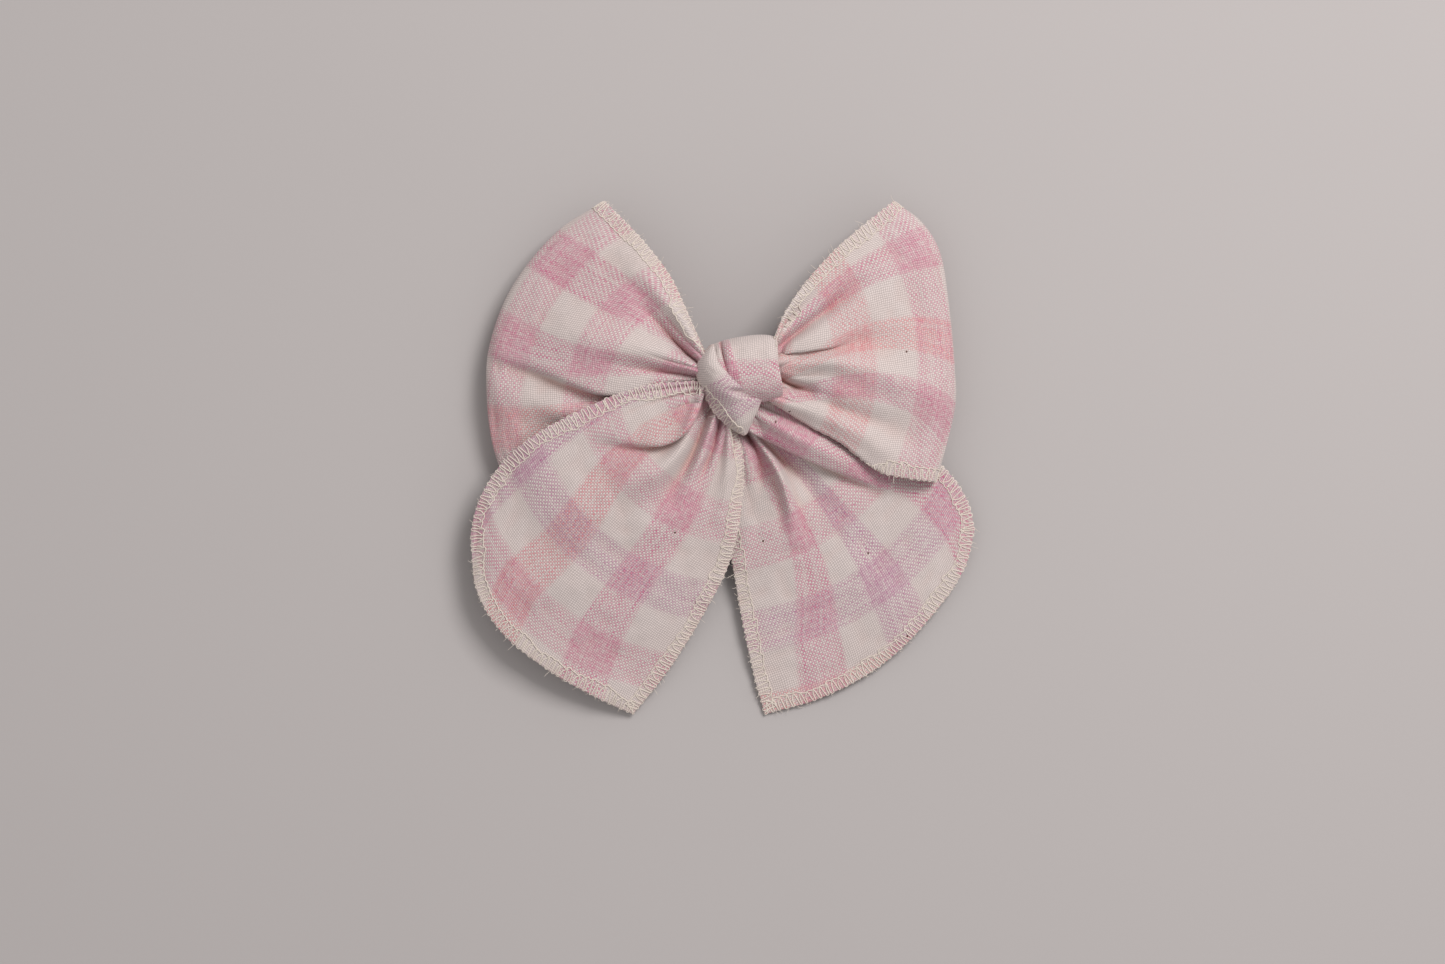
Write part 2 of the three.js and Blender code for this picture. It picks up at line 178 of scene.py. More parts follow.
# ---------- folds ----------
def fold_field(grid, line):
    """For each place of the grid: how far along the fold's line it is as a share of it, how far to
    the line's left, the direction of left there, and how far it is past the line's end."""
    flat = grid[..., :2].reshape(-1, 2)
    path = curve([(x, y, 0) for x, y in line], 90)[:, :2]
    nearest = np.argmin(((flat[:, None, :] - path[None, :, :]) ** 2).sum(2), axis=1)
    heading = unit(np.gradient(path, axis=0))
    off = flat - path[nearest]
    head = heading[nearest]
    left = head[:, 0] * off[:, 1] - head[:, 1] * off[:, 0]
    ahead = head[:, 0] * off[:, 0] + head[:, 1] * off[:, 1]
    past_end = (nearest == len(path) - 1) & (ahead > 0)
    shape = grid.shape[:2]
    side = np.stack([-head[:, 1], head[:, 0]], 1).reshape(*shape, 2)
    spill = np.where(past_end, ahead, 0).reshape(shape)
    return (nearest / (len(path) - 1)).reshape(shape), left.reshape(shape), side, spill


def spread(values, place):
    """Values that stand evenly along a line, read at shares of its length."""
    return np.interp(place, np.linspace(0, 1, len(values)), values)


def add_fold(grid, line, height, width, mask=1.0):
    """Raises a ridge (or sinks a crease, with negative heights) along a line from the knot out."""
    place, left, _, spill = fold_field(grid, line)
    h = spread(height, place) * mask
    w = spread(width, place)
    grid[..., 2] += np.exp(-(left / w) ** 2 - (spill / (2 * w)) ** 2) * h


def add_step(grid, line, height, width, high_reach=6.0, low_reach=3.0, lean=0.5, mask=1.0):
    """A pleat's edge: raises the cloth on the line's left, sinks it on the right, and lets the
    raised side hang over the sunk one by lean, as a share of the height. A negative height swaps them."""
    end_fade = 3
    place, left, side, spill = fold_field(grid, line)
    h = spread(height, place) * mask
    w = spread(width, place)
    up = np.sign(h) * left
    reach = np.exp(-(up / np.where(up > 0, high_reach, low_reach)) ** 2 - (spill / end_fade) ** 2)
    grid[..., 2] += 0.5 * np.abs(h) * np.tanh(up / w) * reach
    lip = np.exp(-((up - w) / (1.6 * w)) ** 2 - (spill / end_fade) ** 2)
    grid[..., :2] += side * (-np.sign(h) * lean * np.abs(h) * lip)[..., None]


def roll_under(grid, amount, radius, down):
    """Turns the last of each row's columns in under themselves, as far as amount says for that
    row. down is 1 where the row rolls towards -Z and -1 where it rolls towards +Z."""
    run = arc(grid, 1)
    left_over = run[:, -1:] - run
    for i in np.nonzero(amount > radius)[0]:
        fold = int(np.argmin(np.abs(left_over[i] - amount[i])))
        out = grid[i, fold] - grid[i, max(fold - 4, 0)]
        out /= np.linalg.norm(out)
        past = amount[i] - left_over[i, fold:]
        angle = np.minimum(past / radius, math.pi)
        back = np.maximum(past - math.pi * radius, 0)
        forward = radius * np.sin(angle) - back
        grid[i, fold:] = grid[i, fold] + out * forward[:, None]
        grid[i, fold:, 2] -= down[i] * radius * (1 - np.cos(angle))


def gathers(s, t, count, height, reach, seed):
    """Small pleats at the knot: rounded between sharp creases, dying out along the panel."""
    draw = np.random.default_rng(seed)
    shift = draw.uniform(0, 1, 3)
    uneven = t + 0.035 * np.sin(2 * np.pi * (1.3 * t + shift[0])) + 0.02 * np.sin(9 * t + 6 * shift[1])
    wander = 0.05 * np.sin(5 * s + 6 * shift[2])[:, None]
    wave = np.abs(np.sin(np.pi * count * (uneven[None, :] + wander))) ** 0.75 - 0.6
    return height * wave * np.exp(-(np.maximum(s, 0) / reach) ** 1.3)[:, None]


# ---------- meshes ----------
def new_mesh(name, points, face_groups, vectors=None, smooth_faces=True):
    """A mesh object from millimetre points and arrays of faces, each array of one kind, such as
    quads, with named vectors on its points."""
    groups = [np.asarray(group, np.int32) for group in face_groups]
    corners = np.concatenate([group.ravel() for group in groups])
    sizes = np.concatenate([np.full(len(group), group.shape[1]) for group in groups])
    starts = np.concatenate([[0], np.cumsum(sizes)[:-1]]).astype(np.int32)
    mesh = bpy.data.meshes.new(name)
    mesh.vertices.add(len(points))
    mesh.vertices.foreach_set("co", (np.asarray(points, float) * MM).ravel())
    mesh.loops.add(len(corners))
    mesh.loops.foreach_set("vertex_index", corners)
    mesh.polygons.add(len(sizes))
    mesh.polygons.foreach_set("loop_start", starts)
    mesh.polygons.foreach_set("use_smooth", np.full(len(sizes), smooth_faces))
    mesh.update(calc_edges=True)
    mesh.validate()
    for key, values in (vectors or {}).items():
        layer = mesh.attributes.new(key, "FLOAT_VECTOR", "POINT")
        layer.data.foreach_set("vector", np.asarray(values, np.float32).ravel())
    obj = bpy.data.objects.new(name, mesh)
    bpy.context.scene.collection.objects.link(obj)
    return obj


def grid_faces(rows, cols, start=0, flip=False, wrap=False):
    """Quads between the places of a grid whose points are numbered from start. wrap joins the last
    column to the first, and flip turns the quads over."""
    i, j = np.meshgrid(np.arange(rows - 1), np.arange(cols if wrap else cols - 1), indexing="ij")
    i, j = i.ravel(), j.ravel()
    right = (j + 1) % cols
    quad = np.stack([i * cols + j, (i + 1) * cols + j, (i + 1) * cols + right, i * cols + right], 1)
    return start + (quad[:, ::-1] if flip else quad)


def cloth_mesh(name, grid, vectors, thickness=CLOTH_T):
    """A closed sheet round a grid of places, the same vectors on both of its faces."""
    rows, cols = grid.shape[:2]
    n = normals(grid)
    layer = rows * cols
    upper = (grid + n * thickness / 2).reshape(-1, 3)
    lower = (grid - n * thickness / 2).reshape(-1, 3)
    ring = np.concatenate([
        np.arange(cols), np.arange(1, rows) * cols + cols - 1,
        (rows - 1) * cols + np.arange(cols - 2, -1, -1), np.arange(rows - 2, 0, -1) * cols])
    after = np.roll(ring, -1)
    rim = np.stack([ring, after, after + layer, ring + layer], 1)
    faces = [grid_faces(rows, cols), grid_faces(rows, cols, layer, flip=True), rim]
    doubled = {key: np.vstack([values.reshape(-1, 3)] * 2) for key, values in vectors.items()}
    return new_mesh(name, np.vstack([upper, lower]), faces, doubled)


def tube_points(path, radius, sides):
    """Rings of points round a path, with the frame carried along it."""
    heading = np.gradient(path, axis=0)
    heading[np.linalg.norm(heading, axis=1) < 1e-6] = (1.0, 0.0, 0.0)
    heading = unit(heading)
    side = np.cross(heading, [0, 0, 1.0])
    weak = np.linalg.norm(side, axis=1) < 1e-3
    side[weak] = np.cross(heading[weak], [0, 1.0, 0])
    side = unit(side)
    for i in range(1, len(side)):
        if side[i] @ side[i - 1] < 0:
            side[i] = -side[i]
    up = np.cross(side, heading)
    angle = np.linspace(0, 2 * np.pi, sides, endpoint=False)
    radius = np.broadcast_to(np.asarray(radius, float), (len(path),))[:, None, None]
    ring = side[:, None, :] * np.cos(angle)[None, :, None] + up[:, None, :] * np.sin(angle)[None, :, None]
    return path[:, None, :] + ring * radius


def tubes_mesh(name, paths, radii, sides=6):
    """Many closed tubes as one mesh. Each point's vector is (length along, angle, tube number)."""
    points, walls, caps, vectors, start = [], [], [], [], 0
    for number, (path, radius) in enumerate(zip(paths, radii)):
        rows = len(path)
        run = lengths_along(path)
        points += [tube_points(path, radius, sides).reshape(-1, 3), path[[0, -1]]]
        turn = np.tile(np.arange(sides) / sides, rows)
        vectors.append(np.stack([np.repeat(run, sides), turn, np.full(rows * sides, number)], 1))
        vectors.append([[0, 0, number], [run[-1], 0, number]])
        walls.append(grid_faces(rows, sides, start, wrap=True))
        hub = start + rows * sides
        last_ring = hub - sides
        j = np.arange(sides)
        k = (j + 1) % sides
        caps.append(np.stack([start + j, start + k, np.full(sides, hub)], 1))
        caps.append(np.stack([last_ring + k, last_ring + j, np.full(sides, hub + 1)], 1))
        start = hub + 2
    faces = [np.vstack(walls), np.vstack(caps)]
    return new_mesh(name, np.vstack(points), faces, {"strand": np.vstack(vectors)})


# ---------- dye ----------
def linear(r, g, b):
    """A paint colour given as screen values from 0 to 255."""
    c = np.array([r, g, b]) / 255
    return np.where(c <= 0.04045, c / 12.92, ((c + 0.055) / 1.055) ** 2.4)


CREAM = linear(199, 187, 184)
PINK = linear(193, 152, 161)
MAUVE = linear(184, 153, 164)
PEACH = linear(202, 163, 163)
SALMON = linear(198, 157, 159)
WEFT_STRENGTH = 0.86      # how strong the stripes across are, beside those along the strip
CREASE_SHADE_ROUNDS = 60        # how widely the cloth's height is averaged to find its creases, for their painted shade
CREASE_SHADE_DEPTH = 0.75       # how deep a crease is that has all of its painted shade, darker and warmer


def stronger(colour, times):
    """A dye with so many times its difference from the undyed cream."""
    return CREAM + (colour - CREAM) * times


def dye(where, stripes):
    """Thread colour at the places where, with a soft stripe for each (centre, colour)."""
    out = np.broadcast_to(CREAM, (*where.shape, 3)).copy()
    for centre, colour in stripes:
        off = np.abs(where - centre) / (STRIPE / 2)
        strength = 1 - smooth((off - 0.87) / 0.24)
        out = out + (colour - CREAM) * strength[..., None]
    return out


def cloth_vectors(grid, u, v, warp, weft, number):
    """Where each place of a panel lies on the flat cloth, the dye of the threads that cross there,
    and how deep in a crease it is, which sets the painted shade there. u and v place the stripes, along the
    strip and across it."""
    across = arc(grid, 1)
    across = across - across[:, grid.shape[1] // 2][:, None]
    lengthwise = arc(grid, 0)
    lengthwise = lengthwise - lengthwise[len(grid) // 2][None, :]
    height = grid[..., 2]
    # Painted shade: how far each place lies below the averaged height of the cloth, which darkens and warms
    # its colour in the creases.
    painted_crease_shade = np.clip((soften_grid(height, CREASE_SHADE_ROUNDS) - height) / CREASE_SHADE_DEPTH, 0, 1)
    numbers = np.full(u.shape, number)
    return {
        "cloth": np.stack([lengthwise, across, numbers], -1),
        "painted_crease_shade": np.repeat(painted_crease_shade[..., None], 3, axis=2),
        "warp_dye": dye(v, warp),
        "weft_dye": dye(u, [(centre, stronger(colour, WEFT_STRENGTH)) for centre, colour in weft]),
        "stripe": np.stack([u, v, numbers], -1),
    }


# ---------- loops and tails ----------
def into_knot(grid, inward):
    """Adds rows before the first that carry the cloth on into the knot."""
    root = grid[0]
    middle = root.mean(0)
    rows = []
    for i in range(ROOT_ROWS, 0, -1):
        part = i / ROOT_ROWS
        rows.append(middle + (root - middle) * (1 - 0.25 * part) + np.array(inward) * part)
    return np.concatenate([np.stack(rows), grid])


def loop_panel(p):
    """A loop: the front layer from the knot to the outer end, and the back layer home again. Gives
    the folded grid, the same without its folds, and the rows' and columns' shares s and t."""
    rows, cols = LOOP_GRID
    seed = 10 + p["number"]
    q = np.linspace(-1, 1, 2 * rows + 1)
    s = np.sin((1 - np.abs(q)) * np.pi / 2)
    t = np.linspace(0, 1, cols)
    grid = fan(p["edge_a"], p["edge_b"], p["rim"], s, t, 0)
    length = np.linalg.norm(curve(p["edge_a"])[-1] - curve(p["edge_a"])[0])
    round_from = 1 - RIM_ROUND / length
    closing = np.sqrt(np.clip(1 - (np.clip(s - round_from, 0, 1) / (1 - round_from)) ** 2, 0, 1))
    puff = np.where(q < 0, p["front_puff"], p["back_puff"])
    swell = np.outer(np.sin(np.pi * s), np.sin(np.pi * t))
    gap = p["root_gap"] + (p["rim_gap"] - p["root_gap"]) * s[:, None] + puff[:, None] * swell
    at_knot = np.where(q < 0, KNOT_SWELL, 0)[:, None] * np.exp(-(s / 0.12) ** 2)[:, None]
    gap = gap + at_knot * np.sin(np.pi * t) ** 0.5
    gap = gap * closing[:, None] * np.where(q < 0, 1, -1)[:, None]
    grid[..., 2] += gap
    plain = grid.copy()
    front = smooth(-q / 0.12)[:, None]
    back = smooth(q / 0.12)[:, None]
    grid[..., 2] += gathers(s, t, p["pleats"], 1.1, 0.22, seed) * (front - 0.5 * back)
    p["folds"](grid, front)
    shape = grid.shape[:2]
    loose = smooth(s / 0.3)[:, None] * (0.25 + 0.75 * closing)[:, None]
    grid[..., 2] += 0.42 * ripple(shape, (14, 6), seed + 1) * loose
    grid[..., 2] += 0.13 * ripple(shape, (40, 22), seed + 2) * loose
    if "rolled" in p:
        far, most = p["rolled"]
        back_edge = (q > 0) & (s < far + 0.3)
        amount = most * (1 - smooth((s - far) / 0.4)) + np.where(back_edge, ROLL_R, 0)
        roll_under(grid, amount, ROLL_R, np.where(q < 0, 1, -1))
    root = np.full(ROOT_ROWS, 0)
    inward = p["inward"]
    grid, plain = (into_knot(into_knot(g, inward)[::-1], inward)[::-1] for g in (grid, plain))
    return grid, plain, np.concatenate([root, s, root]), t


def tail_panel(p):
    """A tail: one layer from the knot to its rounded end. Gives what loop_panel gives."""
    rows, cols = TAIL_GRID
    lowest = 0.45
    seed = 10 + p["number"]
    s = np.linspace(0, 1, rows) ** 0.9
    t = np.linspace(0, 1, cols)
    plain = fan(p["edge_a"], p["edge_b"], p["rim"], s, t, p["crown"])
    grid = plain.copy()
    grid[..., 2] += gathers(s, t, p["pleats"], 0.9, 0.2, seed)
    p["folds"](grid)
    shape = grid.shape[:2]
    loose = smooth(s / 0.3)[:, None]
    low = np.minimum(1, grid[..., 2] / 3)
    grid[..., 2] += 0.5 * ripple(shape, (7, 5), seed + 1) * loose * low
    grid[..., 2] += 0.14 * ripple(shape, (26, 20), seed + 2) * loose
    grid[..., 2] = np.maximum(grid[..., 2], lowest)
    rows_from_knot = np.concatenate([np.full(ROOT_ROWS, 0), s])
    return into_knot(grid, p["inward"]), into_knot(plain, p["inward"]), rows_from_knot, t


def along_panel(plain):
    """Distance from the knot along each thread of a panel. Past the fold of a loop it runs on."""
    u = arc(plain, 0)
    return u - u[ROOT_ROWS][None, :]


# A fold is a line from the knot outward, with its heights and its widths along that line.
def left_loop_folds(g, front):
    add_fold(g, [(-7.5, 3.6), (-13, 8.8), (-17.4, 13.2), (-22, 17)], [-2.2, -2.4, -1.4, 0],
             [0.6, 0.8, 1.3, 2.4], mask=front)
    add_fold(g, [(-7.5, 6.5), (-11, 12), (-16, 18.5), (-24, 27)], [1.2, 2.2, 1.7, 0.3],
             [1.2, 1.7, 2.4, 4], mask=front)
    add_fold(g, [(-8, 3), (-18, 6.4), (-30, 8.4), (-40, 11)], [1.4, 2.4, 2.0, 0.3],
             [1.2, 2.4, 4.2, 6], mask=front)
    add_fold(g, [(-8, 1.6), (-15, 2.6), (-24, 3.4)], [-1.2, -1.0, 0], [0.5, 0.8, 1.6], mask=front)
    add_step(g, [(-10, 0.6), (-26, -1.8), (-33, 0.2), (-40, 2.8), (-47, 5)], [1.2, 3.3, 3.0, 2.4, 1.2],
             [0.5, 0.45, 0.5, 0.8, 1.4], high_reach=5, low_reach=3.6, lean=0.2, mask=-front)
    add_fold(g, [(-24, -7), (-38, -4.4), (-47, -2)], [0.2, 1.4, 0.5], [2, 2.5, 3], mask=front)


def left_loop_stripes(plain, s, t):
    """The stripes slant along the loop, and hang a little slack across it."""
    slack = np.outer(np.sin(np.pi * s), np.sin(np.pi * np.clip((t - 0.2) / 0.7, 0, 1)))
    return along_panel(plain) + (4 - 11 * t)[None, :], LOOP_W * t[None, :] - 4.6 * slack


LEFT_LOOP = dict(
    number=1, build=loop_panel, folds=left_loop_folds, stripes=left_loop_stripes,
    edge_a=[(-6.6, 6, 12), (-9.8, 13.4, 11.8), (-13.4, 21.2, 11), (-19, 28.6, 9), (-26.6, 36.6, 6.5)],
    edge_b=[(-6.6, -1.4, 9.4), (-20, -8, 7.4), (-34, -14.5, 5.6), (-46.5, -20, 4)],
    rim=[(-26.6, 36.6, 6.5), (-36, 30.6, 6), (-45.4, 19, 5.5), (-49.8, 7, 5), (-50.2, -1, 5),
         (-49.2, -11, 4.5), (-46.5, -20, 4)],
    root_gap=1.1, rim_gap=1.8, front_puff=3.0, back_puff=1.6, inward=(3.4, -0.6, 0.6), pleats=7,
    warp=[(13.5, PINK), (30.7, PINK), (47.9, PEACH)],
    weft=[(3, PINK), (20, PINK), (37, PINK), (54, MAUVE), (71, PINK), (88, PINK)],
    turned=1, flat=(0.058, 0.088),
)


def right_loop_folds(g, front):
    add_fold(g, [(8, 7.4), (18, 15), (28.4, 23)], [-2.2, -2.6, -0.2], [0.9, 1.5, 3], mask=front)
    add_fold(g, [(7, 9.6), (10, 15), (18, 24)], [1.2, 1.4, 0.3], [1.0, 1.5, 2.5], mask=front)
    add_step(g, [(7.0, 6.2), (13, 7), (19, 7.9), (24, 9.6)], [1.2, 1.6, 1.4, 0.0],
             [0.3, 0.32, 0.45, 1.4], high_reach=4, low_reach=1.6, lean=0.55, mask=front)
    add_fold(g, [(16, 5.6), (24.7, 8.2), (34, 9)], [-0.6, -1.5, -0.2], [1.4, 2.6, 4], mask=front)
    add_fold(g, [(8, 4.0), (19.6, 4.4), (32.1, 0.5), (43.1, -3.9)], [1.4, 1.6, 1.4, 0.4],
             [1.1, 2.2, 3.2, 4.5], mask=front)
    add_fold(g, [(7, 1.4), (10.4, -0.2), (16, -1.8)], [-3.6, -3.8, -0.2], [0.9, 1.0, 1.5], mask=front)
    add_fold(g, [(9.0, -0.4), (12.6, -1.4)], [1.6, 0.8], [0.5, 0.7], mask=front)
    add_fold(g, [(7, -2.4), (20, -7.6), (31, -14.6)], [1.0, 1.2, 0.6], [1.2, 1.9, 3], mask=front)
    add_fold(g, [(14, -3), (26, -7), (36, -11)], [-0.6, -1.4, -0.3], [1.2, 2, 3], mask=front)


def right_loop_stripes(plain, s, t):
    """The stripes slant along the loop, and bow out across it."""
    slack = 15 * np.sin(np.pi * s)[:, None] * t[None, :]
    return along_panel(plain) + (-1 + 4 * t)[None, :], LOOP_W * t[None, :] + slack


RIGHT_LOOP = dict(
    number=2, build=loop_panel, folds=right_loop_folds, stripes=right_loop_stripes,
    edge_a=[(6.8, 7.6, 12.4), (9.6, 14.6, 12), (18.6, 26, 10), (31, 36.6, 6.5)],
    edge_b=[(6.0, -4.8, 10.2), (11.4, -9.4, 9.2), (18.0, -13.4, 8.6), (25.2, -17.0, 8.0),
            (31.4, -18.6, 7.2), (39.4, -19.8, 6.2)],
    rim=[(31, 36.6, 6.5), (36.4, 32.6, 6.5), (40, 27, 6.4), (42, 16, 6.2), (43.2, 3, 6.2),
         (43.4, -3, 6.2), (41.8, -11, 6.2), (39.4, -19.4, 6.4)],
    root_gap=1.1, rim_gap=2.0, front_puff=2.6, back_puff=0.0, inward=(-3.4, 0.2, 0.4), pleats=7,
    rolled=(0.42, 3.4),   # how far out edge B rolls under, as a share, and how much of it
    warp=[(11.8, PINK), (31, PEACH), (46.6, PINK)],
    weft=[(1.5, PEACH), (18.5, SALMON), (35.5, PINK), (52.5, PINK), (69.5, PINK), (86.5, PINK)],
    turned=-1, flat=(0.058, 0.080),
)


def left_tail_folds(g):
    add_step(g, [(-7.4, -0.5), (-10.4, -7.6), (-14.1, -10.6), (-22.9, -11.4), (-30, -10.4)],
             [-2.8, -3.6, -3.4, -1.8, 0], [0.4, 0.5, 0.6, 1.2, 2.5], high_reach=5.5, low_reach=3)
    add_fold(g, [(-8.0, -4.2), (-11.6, -13), (-16.8, -18.2), (-24.6, -22)], [1.4, 2.4, 2.1, 0.2],
             [0.9, 1.5, 2.3, 4.2])
    add_fold(g, [(-6, -6.2), (-8.9, -13), (-13, -21), (-17, -28)], [-1.2, -1.5, -0.9, 0],
             [0.6, 1.0, 1.8, 3])
    add_fold(g, [(-4.9, -7.3), (-7.4, -14.6), (-11.9, -24)], [1.2, 1.5, 0.4], [0.6, 1.0, 2.4])
    add_fold(g, [(-3.6, -8.0), (-5.6, -14.2), (-9.6, -21)], [-1.4, -1.2, -0.2], [0.5, 0.8, 2])
    add_fold(g, [(-1.9, -8), (-1.8, -16), (-3.6, -28)], [1.2, 1.5, 0.3], [0.8, 1.2, 2.4])
    add_fold(g, [(-16, -12.5), (-21, -18), (-28, -26), (-33, -33)], [0.4, 1.2, 1.1, 0.2], [2, 2.6, 3, 4])
    add_fold(g, [(-30, -30), (-36, -39), (-42, -46)], [0, 0.9, 0.2], [3, 4.5, 5])


def left_tail_stripes(plain, s, t):
    """The stripes bend over the tail's folds, and draw in at its rounded end."""
    reach = np.clip((s - 0.6) / 0.4, 0, 1) ** 2
    bend = np.outer(np.sin(2 * np.pi * np.clip((s - 0.15) / 0.7, 0, 1)),
                    np.sin(np.pi * np.clip(t / 0.7, 0, 1)))
    v = TAIL_W * t[None, :] - 7 * reach[:, None] * t[None, :] ** 2
    return along_panel(plain), v + 2.4 * bend


LEFT_TAIL = dict(
    number=3, build=tail_panel, folds=left_tail_folds, stripes=left_tail_stripes,
    edge_a=[(-7.4, 0.6, 12.8), (-19.6, -0.6, 13.4), (-31.6, -5.4, 12.4), (-41.6, -11, 10.8),
            (-47.8, -16.6, 8.8), (-52, -24, 7.0), (-53.4, -30, 6.6)],
    edge_b=[(-1.6, -7.2, 11.6), (0.8, -13, 10.4), (0.8, -23, 8.4), (-1.6, -35, 6.4), (-7.6, -47, 4),
            (-14.6, -58, 2.4), (-21.2, -66.2, 1.2)],
    rim=[(-53.4, -30, 6.6), (-52.2, -41, 6.8), (-47.6, -49, 6.2), (-38.6, -56.6, 6.2),
         (-29.6, -62, 4.2), (-21.2, -66.2, 1.2)],
    crown=1.6, inward=(2.6, 2.2, 0.4), pleats=7,
    warp=[(1.4, MAUVE), (18.6, SALMON), (35.8, PINK)],
    weft=[(4.5, PINK), (21.5, PINK), (38.5, MAUVE), (55.5, PINK)],
    turned=1, flat=(0.052, 0.068),
)


def right_tail_folds(g):
    add_step(g, [(3.4, -8.6), (10, -11.6), (18, -15.4), (27.6, -19.8), (34, -21.6)],
             [3.0, 3.8, 3.4, 2.0, 0], [0.45, 0.5, 0.6, 1.1, 2.4], high_reach=5, low_reach=3)
    add_fold(g, [(5, -6.8), (12, -10.4), (20, -14.4), (28, -18.4)], [1.6, 2.2, 1.8, 0.3],
             [1.4, 2.0, 2.4, 3])
    add_fold(g, [(2.7, -10.5), (13.7, -19.3), (18, -26.6)], [-1.8, -2.4, -0.5], [0.9, 1.8, 3.5])
    add_fold(g, [(2.6, -9.6), (7.2, -15.6), (10.2, -23.6), (11.4, -33)], [2.0, 2.8, 2.0, 0.2],
             [0.6, 0.85, 1.2, 2.4])
    add_fold(g, [(2, -10.5), (4.2, -15), (5, -22)], [-1.8, -2.0, -0.3], [0.7, 1.1, 2])
    add_fold(g, [(-1, -9), (-1.2, -20), (1, -32)], [1.0, 1.2, 0.2], [0.9, 1.4, 2.6])
    add_fold(g, [(20, -30), (27, -40), (33, -48)], [0, 0.8, 0.2], [3, 4.5, 5])


def right_tail_stripes(plain, s, t):
    """The stripes fan out from the knot, and one of them lies along the fold under the loop."""
    reach = np.clip((s - 0.6) / 0.4, 0, 1) ** 2
    v = TAIL_W * t[None, :] + 4 * reach[:, None] * (1 - t)[None, :]
    v = v - 7 * np.outer(np.sin(np.pi * np.clip(s / 0.8, 0, 1) ** 0.8),
                         np.sin(np.pi * np.clip(t / 0.6, 0, 1)))
    v = v + 3 * np.sin(np.pi * s)[:, None] * np.sin(np.pi * np.clip((t - 0.35) / 0.5, 0, 1))[None, :]
    v = v + 4 * (1 - s)[:, None] * t[None, :]
    fold_stripe = 48
    above_fold = 0.39 * (plain[..., 0] - 3.4) + 0.92 * (plain[..., 1] + 8.6)
    on_fold = smooth((above_fold + 1.0) / 1.6) * (1 - smooth((s - 0.55) / 0.3))[:, None]
    v = v + (fold_stripe + (above_fold - 1.7) - v) * on_fold
    return along_panel(plain) - (2 * t)[None, :], v


RIGHT_TAIL = dict(
    number=4, build=tail_panel, folds=right_tail_folds, stripes=right_tail_stripes,
    edge_a=[(-2.4, -7.8, 8.8), (-3.6, -22, 6), (-1.2, -35.4, 3.8), (0.8, -47, 2.6), (3.4, -59, 1.4),
            (5.4, -66.2, 0.5)],
    edge_b=[(5, -2.0, 10.4), (16, -2.8, 9.0), (29, -8.4, 6.7), (40.4, -15.6, 4.8), (46, -23, 3.4),
            (47.6, -29, 2.6)],
    rim=[(5.4, -66.2, 0.5), (16.4, -63, 1), (28.4, -56.6, 1.6), (38.4, -47, 2), (45.4, -37, 2.2),
         (47.6, -29, 2.2)],
    crown=0.8, inward=(0, 3.0, 0.6), pleats=6,
    warp=[(14, PINK), (31, MAUVE), (48, stronger(PINK, 1.1))],
    weft=[(9, PINK), (26, PINK), (43, MAUVE), (60, PEACH)],
    turned=1, flat=(0.052, 0.066),
)


# ---------- overlock stitching ----------
def tree_of(grid):
    """A panel's middle surface, to lay thread or another panel on."""
    rows, cols = grid.shape[:2]
    flat = [Vector(p) for p in grid.reshape(-1, 3)]
    return BVHTree.FromPolygons(flat, grid_faces(rows, cols).tolist())


def border(grid, turned, sides):
    """Places along a serged edge, with the directions into the cloth and out of its seen face.
    turned is -1 where the seen face is the grid's back, and a side may run backwards."""
    lines = {
        "a": (grid[:, 0], grid[:, 3] - grid[:, 0]),
        "b": (grid[:, -1], grid[:, -4] - grid[:, -1]),
        "rim": (grid[-1], grid[-4] - grid[-1]),
    }
    n = normals(grid) * turned
    faces = {"a": n[:, 1], "b": n[:, -2], "rim": n[-2]}
    places, inwards, ups = [], [], []
    for name, backwards in sides:
        line, inward = lines[name]
        up = faces[name]
        if backwards:
            line, inward, up = line[::-1], inward[::-1], up[::-1]
        skip = 1 if places else 0
        places.append(line[skip:])
        inwards.append(inward[skip:])
        ups.append(up[skip:])
    return np.vstack(places), np.vstack(inwards), np.vstack(ups)


class Seam:
    """A serged edge: turns a place along and across it into a place on the cloth."""

    def __init__(self, grid, turned, sides):
        edge = border(grid, turned, sides)
        run = lengths_along(edge[0])
        self.run = np.arange(int(run[-1] / SEAM_STEP) + 1) * SEAM_STEP
        self.line, inward, up = (resample(table, run, self.run) for table in edge)
        ahead = unit(np.gradient(self.line, axis=0))
        inward = unit(inward - ahead * (inward * ahead).sum(1)[:, None])
        self.inward = unit(soften(inward, 12))
        self.up = unit(soften(up, 6))
        self.tree = tree_of(grid)
        self.length = self.run[-1]

    def at(self, x, inset, height):
        """The place x along the edge, inset from it, and so high over the middle of the cloth."""
        pick = [np.interp(x, self.run, a[:, c]) for a in (self.line, self.inward, self.up) for c in range(3)]
        base, inward, up = np.array(pick[:3]), np.array(pick[3:6]), np.array(pick[6:9])
        spot = base + inward * inset
        if inset > 0.1:
            found = self.tree.find_nearest(Vector(spot), 2.5)
            if found[0] is not None:
                spot = np.array(found[0])
                face = np.array(found[1])
                face = face if face @ up > 0 else -face
                up = 0.5 * face + 0.5 * up
                up /= np.linalg.norm(up)
        return spot + up * height

    def path(self, marks, step=0.3):
        """A thread through (along, inset, height) marks, rounded at its turns."""
        marks = np.array(marks, float)
        run = lengths_along(marks)
        marks = soften(resample(marks, run, np.linspace(0, run[-1], max(2, int(run[-1] / step)))), 2)
        places = np.array([self.at(*m) for m in marks])
        apart = np.linalg.norm(np.diff(places, axis=0), axis=1) > 0.02
        return places[np.concatenate([[True], apart])]


